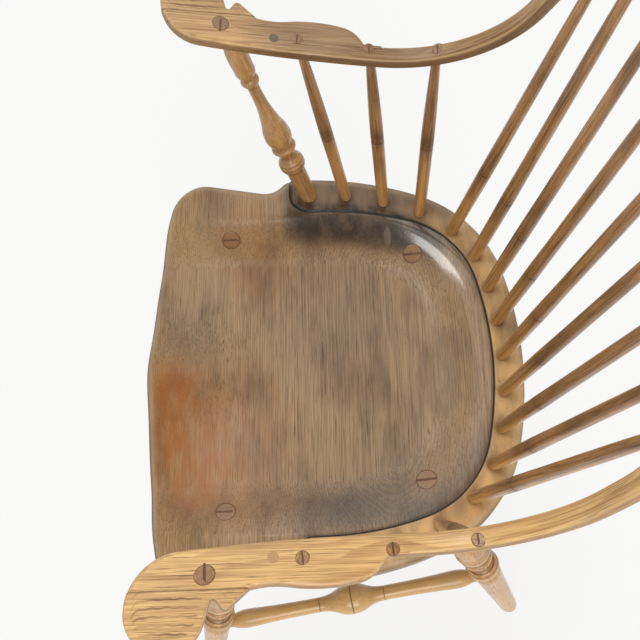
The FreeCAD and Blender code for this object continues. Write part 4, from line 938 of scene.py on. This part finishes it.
def node(tree, kind, inputs=None, **settings):
    """Add a node. Inputs are numbers, colours or the outputs of other nodes, by socket name or place."""
    made = tree.nodes.new(kind)
    for name, value in settings.items():
        setattr(made, name, value)
    for key, value in (inputs or {}).items():
        if isinstance(value, bpy.types.NodeSocket):
            tree.links.new(value, made.inputs[key])
        else:
            made.inputs[key].default_value = value
    return made


def calculate(tree, operation, *values):
    return node(tree, "ShaderNodeMath", dict(enumerate(values)), operation=operation).outputs[0]


def times(tree, first, *others):
    """The product of two or more values."""
    for other in others:
        first = calculate(tree, "MULTIPLY", first, other)
    return first


def plus(tree, first, *others):
    """The sum of two or more values."""
    for other in others:
        first = calculate(tree, "ADD", first, other)
    return first


def vector(tree, operation, *values):
    """A vector node's result, which is a plain number for a length."""
    made = node(tree, "ShaderNodeVectorMath", dict(enumerate(values)), operation=operation)
    return made.outputs["Value" if operation == "LENGTH" else "Vector"]


def between(tree, value, low, high, start=0.0, end=1.0):
    """Ease a value from start to end while it goes from low to high."""
    inputs = {"Value": value, "From Min": low, "From Max": high, "To Min": start, "To Max": end}
    return node(tree, "ShaderNodeMapRange", inputs, interpolation_type="SMOOTHSTEP").outputs["Result"]


print("a mid brown is", [round(value, 3) for value in tint(150, 100, 60)])

# %% Node words
NUMBER, COLOUR, VECTOR = "NodeSocketFloat", "NodeSocketColor", "NodeSocketVector"


def split(tree, value):
    """The three numbers of a vector."""
    return node(tree, "ShaderNodeSeparateXYZ", {0: value}).outputs


def attribute(tree, label):
    """Three numbers that ride on the mesh."""
    return node(tree, "ShaderNodeAttribute", attribute_name=label).outputs["Vector"]


def noise(tree, place, stretch, detail, roughness=0.5):
    """Cloudy noise on a stretched vector: more per metre across the grain than along it."""
    inputs = {"Vector": vector(tree, "MULTIPLY", place, stretch), "Scale": 1.0, "Detail": detail,
              "Roughness": roughness}
    return node(tree, "ShaderNodeTexNoise", inputs).outputs["Fac"]


def mixed(tree, share, first, second, blend="MIX"):
    """Two colours mixed by a share, which the node keeps between 0 and 1."""
    inputs = {"Factor": share, 6: first, 7: second}
    return node(tree, "ShaderNodeMix", inputs, data_type="RGBA", blend_type=blend).outputs[2]


def start_group(name, inputs, outputs):
    """An empty group with named sockets. Returns its tree, and its input and output nodes."""
    tree = bpy.data.node_groups.new(name, "ShaderNodeTree")
    for direction, sockets in (("INPUT", inputs), ("OUTPUT", outputs)):
        for label, kind in sockets.items():
            tree.interface.new_socket(label, in_out=direction, socket_type=kind)
    return tree, tree.nodes.new("NodeGroupInput").outputs, tree.nodes.new("NodeGroupOutput").inputs


print("groups can pass on", NUMBER, COLOUR, "and", VECTOR)

# %% [markdown]
# ## Grain
# Wood is a stack of cones: a ring of pale early wood and dark late wood for each year, wandering a
# little along the trunk. Cutting through them makes straight lines on one face and arched figure on
# another. So the grain is worked out in depth: the distance from the heart of the tree, with a slow
# wander, is divided into years. Streaks and pores are noise drawn out along the fibre.

# %% Grain group
grain, given, wanted = start_group(
    "wood_grain",
    {"Blank": VECTOR, "Heart": VECTOR, "Year": NUMBER, "Wander": NUMBER, "Late Wood": NUMBER,
     "Streaks": NUMBER, "Lines": NUMBER, "Pores": NUMBER, "Pale": COLOUR, "Dark": COLOUR, "Pore": COLOUR},
    {"Color": COLOUR, "Height": NUMBER})
blank = given["Blank"]
slow = noise(grain, blank, (22.0, 22.0, 5.0), 2.0)
wander = times(grain, calculate(grain, "SUBTRACT", slow, 0.5), given["Wander"])
from_heart = vector(grain, "SUBTRACT", blank, given["Heart"])
far_out = vector(grain, "LENGTH", vector(grain, "MULTIPLY", from_heart, (1.0, 1.0, 0.0)))
season = calculate(grain, "FRACT", calculate(grain, "DIVIDE", plus(grain, far_out, wander), given["Year"]))
late = times(grain, between(grain, season, 0.25, 0.9), between(grain, season, 0.92, 1.0, 1.0, 0.0))
streak = between(grain, noise(grain, blank, (260.0, 260.0, 5.0), 4.0, 0.6), 0.35, 0.7)
fibre = noise(grain, blank, (1300.0, 1300.0, 28.0), 3.0, 0.6)
lines = between(grain, noise(grain, blank, (700.0, 700.0, 7.0), 3.0, 0.55), 0.3, 0.7, -0.5, 0.5)
pores = between(grain, noise(grain, blank, (1500.0, 1500.0, 20.0), 3.0, 0.6), 0.55, 0.68)
darker = plus(grain, times(grain, late, given["Late Wood"]), times(grain, streak, given["Streaks"]),
              between(grain, fibre, 0.3, 0.75, -0.16, 0.2), times(grain, lines, given["Lines"]))
board = mixed(grain, darker, given["Pale"], given["Dark"])
pore_share = times(grain, pores, calculate(grain, "SUBTRACT", 1.15, late), given["Pores"])
grain.links.new(mixed(grain, pore_share, board, given["Pore"]), wanted["Color"])
raised = plus(grain, times(grain, fibre, 0.4), times(grain, pore_share, -0.9))
grain.links.new(raised, wanted["Height"])
print("grain group has", len(grain.nodes), "nodes")

# %% [markdown]
# ## Age
# An old varnished chair is darker where polish and dust gather, paler where hands and feet rub, and
# cloudy in between. This group takes the wood's colour and the mesh's "state", and adds the years. The
# state's pale and dark values also carry painted highlights and painted shade, laid on with the Worn and
# Grime colours, and its tone, with the Tone colour, carries painted shade on the bow's right half and on
# the seat.

# %% Age group
age, given, wanted = start_group(
    "varnish_age",
    {"Color": COLOUR, "Blank": VECTOR, "State": VECTOR, "Worn": COLOUR, "Grime": COLOUR, "Tone": COLOUR,
     "Tone Share": NUMBER, "Cloud": NUMBER, "Sheen": NUMBER},
    {"Color": COLOUR, "Roughness": NUMBER, "Height": NUMBER})
wear_and_highlight_here, dirt_and_shade_here, tone_and_shade_here = split(age, given["State"])
cloud = noise(age, given["Blank"], (26.0, 26.0, 11.0), 4.0, 0.55)
speck = noise(age, given["Blank"], (420.0, 420.0, 260.0), 2.0)
toned_and_shaded = mixed(age, times(age, tone_and_shade_here, given["Tone Share"]), given["Color"], given["Tone"], "MULTIPLY")
wear_and_highlight_share = times(age, wear_and_highlight_here, between(age, cloud, 0.25, 0.7, 0.35, 1.0), 0.75)
worn = mixed(age, wear_and_highlight_share, toned_and_shaded, given["Worn"])
shade = times(age, between(age, cloud, 0.42, 0.72), given["Cloud"])
clouded = mixed(age, shade, worn, given["Grime"])
dirt_and_shade_share = times(age, dirt_and_shade_here, between(age, speck, 0.2, 0.8, 0.75, 1.0))
age.links.new(mixed(age, dirt_and_shade_share, clouded, given["Grime"]), wanted["Color"])
uneven_sheen = between(age, cloud, 0.3, 0.7, -0.05, 0.08)
age.links.new(plus(age, times(age, dirt_and_shade_share, 0.25), uneven_sheen, given["Sheen"]), wanted["Roughness"])
age.links.new(times(age, between(age, speck, 0.70, 0.78), -0.6), wanted["Height"])
print("age group has", len(age.nodes), "nodes")

# %% [markdown]
# ## The seat's own finish
# The seat has had the hardest life, so its stains lie between grain and age: a paler deck, warm and dark
# patches, a drip of wax, and specks. Among the dark patches the black of the right wall is painted shade,
# and a black line along the gutter is painted shade in its groove. Its varnish is worn off the floor of
# the hollow and lies thick in the rear right corner, where a lamp shines in it.


# %% Seat finish
def stained_and_shaded(tree, colour, place):
    """The seat's stains and painted shade over its wood. Each is a share, from the mesh or from noise, and a
    colour; the black on the right wall and along the gutter's groove is painted shade.
    """
    warm, dark, gutter_side = split(tree, attribute(tree, "zone"))
    uneven = between(tree, noise(tree, place, (60.0, 60.0, 30.0), 4.0, 0.6), 0.3, 0.65, 0.45, 1.0)
    steady = between(tree, uneven, 0.45, 1.0, 0.78, 1.0)
    from_drip = vector(tree, "SUBTRACT", place, (0.069, 0.0, -0.157))
    drip = vector(tree, "LENGTH", vector(tree, "MULTIPLY", from_drip, (240.0, 0.0, 82.0)))
    stains = [
        (times(tree, between(tree, gutter_side, -1.5, -0.5, 0.9, 0.0), uneven), tint(246, 198, 134)),
        (times(tree, warm, 0.85, uneven), tint(160, 92, 27)),
        # Near black from the zone's dark values: stains, and painted shade on the walls of the hollow.
        (times(tree, dark, 0.97, steady), tint(42, 23, 10)),
        (between(tree, drip, 0.75, 1.1, 0.7, 0.0), tint(134, 116, 92)),
        (between(tree, noise(tree, place, (210.0, 210.0, 150.0), 1.0), 0.72, 0.78, 0.0, 0.5),
         tint(128, 104, 78)),
        # A black line along the gutter: painted shade in its groove.
        (between(tree, calculate(tree, "ABSOLUTE", gutter_side), 0.4, 2.0, 0.95, 0.0), tint(24, 24, 26))]
    for share, stain in stains:
        colour = mixed(tree, share, colour, stain)
    return colour


def polished(tree, place, coat):
    """Weight of the seat's coat: on the wall of the hollow, thickest in its rear right corner, and rubbed
    thin on its floor."""
    gutter_side = split(tree, attribute(tree, "zone"))[2]
    backwards, _, leftwards = split(tree, place)
    corner = times(tree, between(tree, backwards, 0.05, 0.1),
                   between(tree, leftwards, -0.11, -0.07, 1.0, 0.0))
    on_wall = times(tree, between(tree, gutter_side, -2.0, 2.0),
                    between(tree, gutter_side, 28.0, GUTTER_LIMIT, 1.0, 0.0))
    return calculate(tree, "MULTIPLY_ADD", on_wall, between(tree, corner, 0.0, 1.0, coat, 0.98), 0.02)


def seat_finish(tree, shader, place, coat, roughness):
    """The seat's uneven coat, and a duller front edge. Returns the roughness."""
    tree.links.new(polished(tree, place, coat), shader.inputs["Coat Weight"])
    shader.inputs["Specular IOR Level"].default_value = 0.35
    front = between(tree, split(tree, place)[0], -0.17, -0.11, 1.0, 0.0)
    return calculate(tree, "MULTIPLY_ADD", front, 0.2, roughness)


print("the seat has six stains over its grain")

# %% [markdown]
# ## Varnished woods
# Seat, bow, turnings and spindles are the same recipe with their own values, as the real chair mixes
# woods and evens them out with stain. Each recipe is a short list of numbers and colours, named as the
# inputs of the two groups are.

# %% Wood maker
RELIEF = 0.0004


def filled(tree, group, values):
    """A group's node, given those values that it has inputs for. The name late_wood stands for Late Wood."""
    labels = {name.replace("_", " ").title(): value for name, value in values.items()}
    known = {item.name for item in group.interface.items_tree if item.in_out == "INPUT"}
    inputs = {label: value for label, value in labels.items() if label in known}
    return node(tree, "ShaderNodeGroup", inputs, node_tree=group)


def varnished(name, coat, bump=0.3, gloss=0.16, on_mesh=True, **recipe):
    """Grain, then age, into one glossy shader. The heights of both make a fine bump."""
    material = bpy.data.materials.new(name)
    material.use_nodes = True
    tree = material.node_tree
    shader = tree.nodes["Principled BSDF"]
    if on_mesh:
        recipe.update(blank=attribute(tree, "blank"), state=attribute(tree, "state"))
    else:
        recipe.update(blank=node(tree, "ShaderNodeTexCoord").outputs["Object"])
    wood = filled(tree, grain, recipe)
    colour = wood.outputs["Color"]
    if name == "seat_wood":
        colour = stained_and_shaded(tree, colour, recipe["blank"])
    years = filled(tree, age, {**recipe, "color": colour})
    roughness = years.outputs["Roughness"]
    shader.inputs["Coat Weight"].default_value = coat
    shader.inputs["Coat Roughness"].default_value = gloss
    if name == "seat_wood":
        roughness = seat_finish(tree, shader, recipe["blank"], coat, roughness)
    height = plus(tree, wood.outputs["Height"], years.outputs["Height"])
    relief = node(tree, "ShaderNodeBump", {"Height": height, "Strength": bump, "Distance": RELIEF})
    tree.links.new(years.outputs["Color"], shader.inputs["Base Color"])
    tree.links.new(roughness, shader.inputs["Roughness"])
    tree.links.new(relief.outputs["Normal"], shader.inputs["Normal"])
    return material


print("a wood's bump is at most", RELIEF / MM, "mm high")

# %% Woods
# On turnings and spindles the Worn colour also paints the highlights on beads, and the Grime colour the shade
# in coves.
round_stock = dict(wander=0.02, late_wood=0.3, tone_share=0.9, sheen=0.28)
offcuts = dict(on_mesh=False, wander=0.01, streaks=0.5, lines=0.2, tone_share=0.0)
recipes = {
    # On the seat Worn also paints the highlight along the rim, Grime the shade round the spindle feet, and
    # Tone the shade on the left wall.
    "seat_wood": dict(
        coat=0.2, gloss=0.1, heart=(0.072, -0.105, 0.0), year=0.0024, wander=0.012,
        late_wood=0.28, streaks=0.22, lines=0.34, pores=0.85, pale=tint(176, 141, 99),
        dark=tint(85, 67, 48), pore=tint(44, 30, 20), worn=tint(206, 180, 150),
        grime=tint(54, 40, 30), tone=tint(150, 184, 250), tone_share=0.7, cloud=0.45, sheen=0.34),
    # On the bow Worn also paints the highlight along the rounded edges, Grime the shade on the sides, and
    # Tone the shade on the right half.
    "bow_wood": dict(
        coat=0.15, bump=0.5, heart=(0.02, -0.05, 0.0), year=0.0031, wander=0.02,
        late_wood=0.45, streaks=0.45, lines=0.45, pores=1.0, pale=tint(246, 200, 132),
        dark=tint(184, 134, 80), pore=tint(96, 62, 36), worn=tint(244, 206, 150),
        grime=tint(98, 62, 32), tone=tint(150, 148, 168), tone_share=0.8, cloud=0.25, sheen=0.42),
    "turned_wood": dict(
        coat=0.4, heart=(0.03, 0.02, 0.0), year=0.0032, streaks=0.4, lines=0.25,
        pores=0.6, pale=tint(234, 182, 114), dark=tint(168, 118, 66), pore=tint(104, 66, 36),
        worn=tint(250, 206, 138), grime=tint(84, 52, 28), tone=tint(178, 158, 136), cloud=0.3,
        **round_stock),
    "spindle_wood": dict(
        coat=0.35, bump=0.35, heart=(0.02, 0.02, 0.0), year=0.0030, streaks=0.65,
        lines=0.4, pores=0.8, pale=tint(218, 164, 102), dark=tint(132, 90, 54), pore=tint(74, 46, 26),
        worn=tint(224, 168, 98), grime=tint(62, 40, 24), tone=tint(236, 226, 214), cloud=0.45,
        **round_stock),
    "wedge_wood": dict(
        coat=0.05, year=0.0016, late_wood=0.4, pores=0.5, pale=tint(122, 74, 44),
        dark=tint(84, 50, 30), pore=tint(38, 27, 22), grime=tint(34, 26, 22), cloud=0.3, sheen=0.55,
        **offcuts),
    "plug_wood": dict(
        coat=0.2, year=0.0012, late_wood=0.3, pores=0.4, pale=tint(126, 106, 86),
        dark=tint(82, 70, 58), pore=tint(50, 44, 40), grime=tint(48, 42, 38), cloud=0.4, sheen=0.45,
        **offcuts)}
woods = {name: varnished(name, **recipe) for name, recipe in recipes.items()}
print("woods:", ", ".join(woods))

# %% [markdown]
# ## Plugs, and a finish for every piece
# The left arm's plug was cut from a paler offcut than the right one's. Both are one piece here, so the
# colour changes with the side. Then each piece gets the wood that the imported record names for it.

# %% Finishes
tree = woods["plug_wood"].node_tree
shader = tree.nodes["Principled BSDF"]
sideways = split(tree, node(tree, "ShaderNodeTexCoord").outputs["Object"])[0]
on_left = between(tree, sideways, -0.01, 0.01, 0.0, 0.85)
plug_colour = shader.inputs["Base Color"].links[0].from_socket
tree.links.new(mixed(tree, on_left, plug_colour, tint(204, 156, 100)), shader.inputs["Base Color"])
slots = {part["node"]: part["material_slot"] for part in frame["record"]["subparts"]}
for name, slot in slots.items():
    shown = pieces.get(name, frame["nodes"][name])
    shown.data.materials.clear()
    shown.data.materials.append(woods[slot])
print("finished", len(slots), "pieces in", len(woods), "woods")

# %% [markdown]
# ## Studio
# The chair stands on a white floor under soft light, mostly from a window on the sitter's right. Camera
# rays see the floor nearly white, with a faint shadow, and the lamps stay at a level where colours look
# as written.

# %% Floor
HALF_FLOOR, FLOOR_UNDER, FLOOR_GLOW = 9.0, 0.0005, 0.82
WHITE = (1.0, 1.0, 1.0, 1.0)
corners = [(HALF_FLOOR * right, HALF_FLOOR * back, -FLOOR_UNDER)
           for right, back in ((-1, -1), (1, -1), (1, 1), (-1, 1))]
floor_mesh = bpy.data.meshes.new("studio_floor")
floor_mesh.from_pydata(corners, [], [(0, 1, 2, 3)])
floor = bpy.data.objects.new("studio_floor", floor_mesh)
bpy.context.scene.collection.objects.link(floor)
paper = bpy.data.materials.new("studio_paper")
paper.use_nodes = True
tree = paper.node_tree
surface = tree.nodes["Principled BSDF"]
surface.inputs["Base Color"].default_value = (0.86, 0.86, 0.86, 1.0)
surface.inputs["Roughness"].default_value = 0.9
seen_as = node(tree, "ShaderNodeLightPath").outputs
direct = calculate(tree, "MAXIMUM", seen_as["Is Camera Ray"],
                   calculate(tree, "MAXIMUM", seen_as["Is Glossy Ray"], seen_as["Is Transmission Ray"]))
glow = node(tree, "ShaderNodeEmission", {"Color": WHITE, "Strength": 1.0}).outputs[0]
blend = node(tree, "ShaderNodeMixShader",
             {0: times(tree, direct, FLOOR_GLOW), 1: surface.outputs[0], 2: glow})
tree.links.new(blend.outputs[0], tree.nodes["Material Output"].inputs["Surface"])
floor_mesh.materials.append(paper)
print("the floor is", 2 * HALF_FLOOR, "m wide")

# %% Light
AIR_GLOW, LAMP_COLOUR, LAMP_TARGET = 0.36, (1.0, 0.975, 0.92), (0.0, 0.0, 0.45)
world = bpy.data.worlds.new("studio_air")
bpy.context.scene.world = world
world.use_nodes = True
air = world.node_tree
seen_as = node(air, "ShaderNodeLightPath").outputs
direct = calculate(air, "MAXIMUM", seen_as["Is Camera Ray"], seen_as["Is Transmission Ray"])
strength = node(air, "ShaderNodeMapRange", {"Value": direct, "To Min": AIR_GLOW, "To Max": 1.0})
backdrop = air.nodes["Background"]
backdrop.inputs["Color"].default_value = WHITE
air.links.new(strength.outputs["Result"], backdrop.inputs["Strength"])


def put(name, data, right, up, back, place):
    """Add a lamp or a camera at a place in metres, turned to its own three directions."""
    made = bpy.data.objects.new(name, data)
    bpy.context.scene.collection.objects.link(made)
    matrix = np.eye(4)
    matrix[:3, :3] = np.stack([right, up, back], axis=1)
    matrix[:3, 3] = place
    made.matrix_world = Matrix(matrix.tolist())
    return made


def soft_lamp(name, place, size, watts):
    """A square lamp that faces the chair's seat."""
    light = bpy.data.lights.new(name, "AREA")
    light.size = size
    light.energy = watts
    light.color = LAMP_COLOUR
    back = unit(np.array(place) - np.array(LAMP_TARGET))
    right = unit(np.cross(UP, back))
    put(name, light, right, np.cross(back, right), back, place)


soft_lamp("window", (-1.6, -0.2, 2.9), 2.2, 32.0)
soft_lamp("front_panel", (-0.42, -0.52, 2.9), 0.5, 9.0)
soft_lamp("near_fill", (2.2, 0.3, 1.8), 1.5, 30.0)
bpy.context.scene.view_settings.view_transform = "Standard"
print("studio has a floor and", len(bpy.data.lights), "lamps")

# %% [markdown]
# ## Camera
# The picture was taken from above, close to the sitter's left arm, with the seat's front to the left.
# The place and tilt of the camera were fitted to the chair's own symmetry, in the level seat's frame.

# %% Camera
FOCAL_PIXELS, PICTURE_PIXELS, SENSOR = 900.0, 640.0, 36.0
elevation, yaw, roll = (math.radians(angle) for angle in (67.6416, 6.8734, -8.5633))
eye = np.array([337.279, 33.852, 948.132])
ahead, level = np.array([[math.cos(yaw), math.sin(yaw), 0.0], [-math.sin(yaw), math.cos(yaw), 0.0]])
behind = ahead * math.cos(elevation) + UP * math.sin(elevation)
over = UP * math.cos(elevation) - ahead * math.sin(elevation)
picture_right = level * math.cos(roll) + over * math.sin(roll)
picture_up = over * math.cos(roll) - level * math.sin(roll)
lens = bpy.data.cameras.new("photo_view")
lens.sensor_width = SENSOR
lens.lens = FOCAL_PIXELS / PICTURE_PIXELS * SENSOR
directions = np.array([picture_right, picture_up, behind]) @ tilt
bpy.context.scene.camera = put("photo_view", lens, *directions, to_floor(eye) * MM)
print("the lens is", round(lens.lens, 2), "mm")
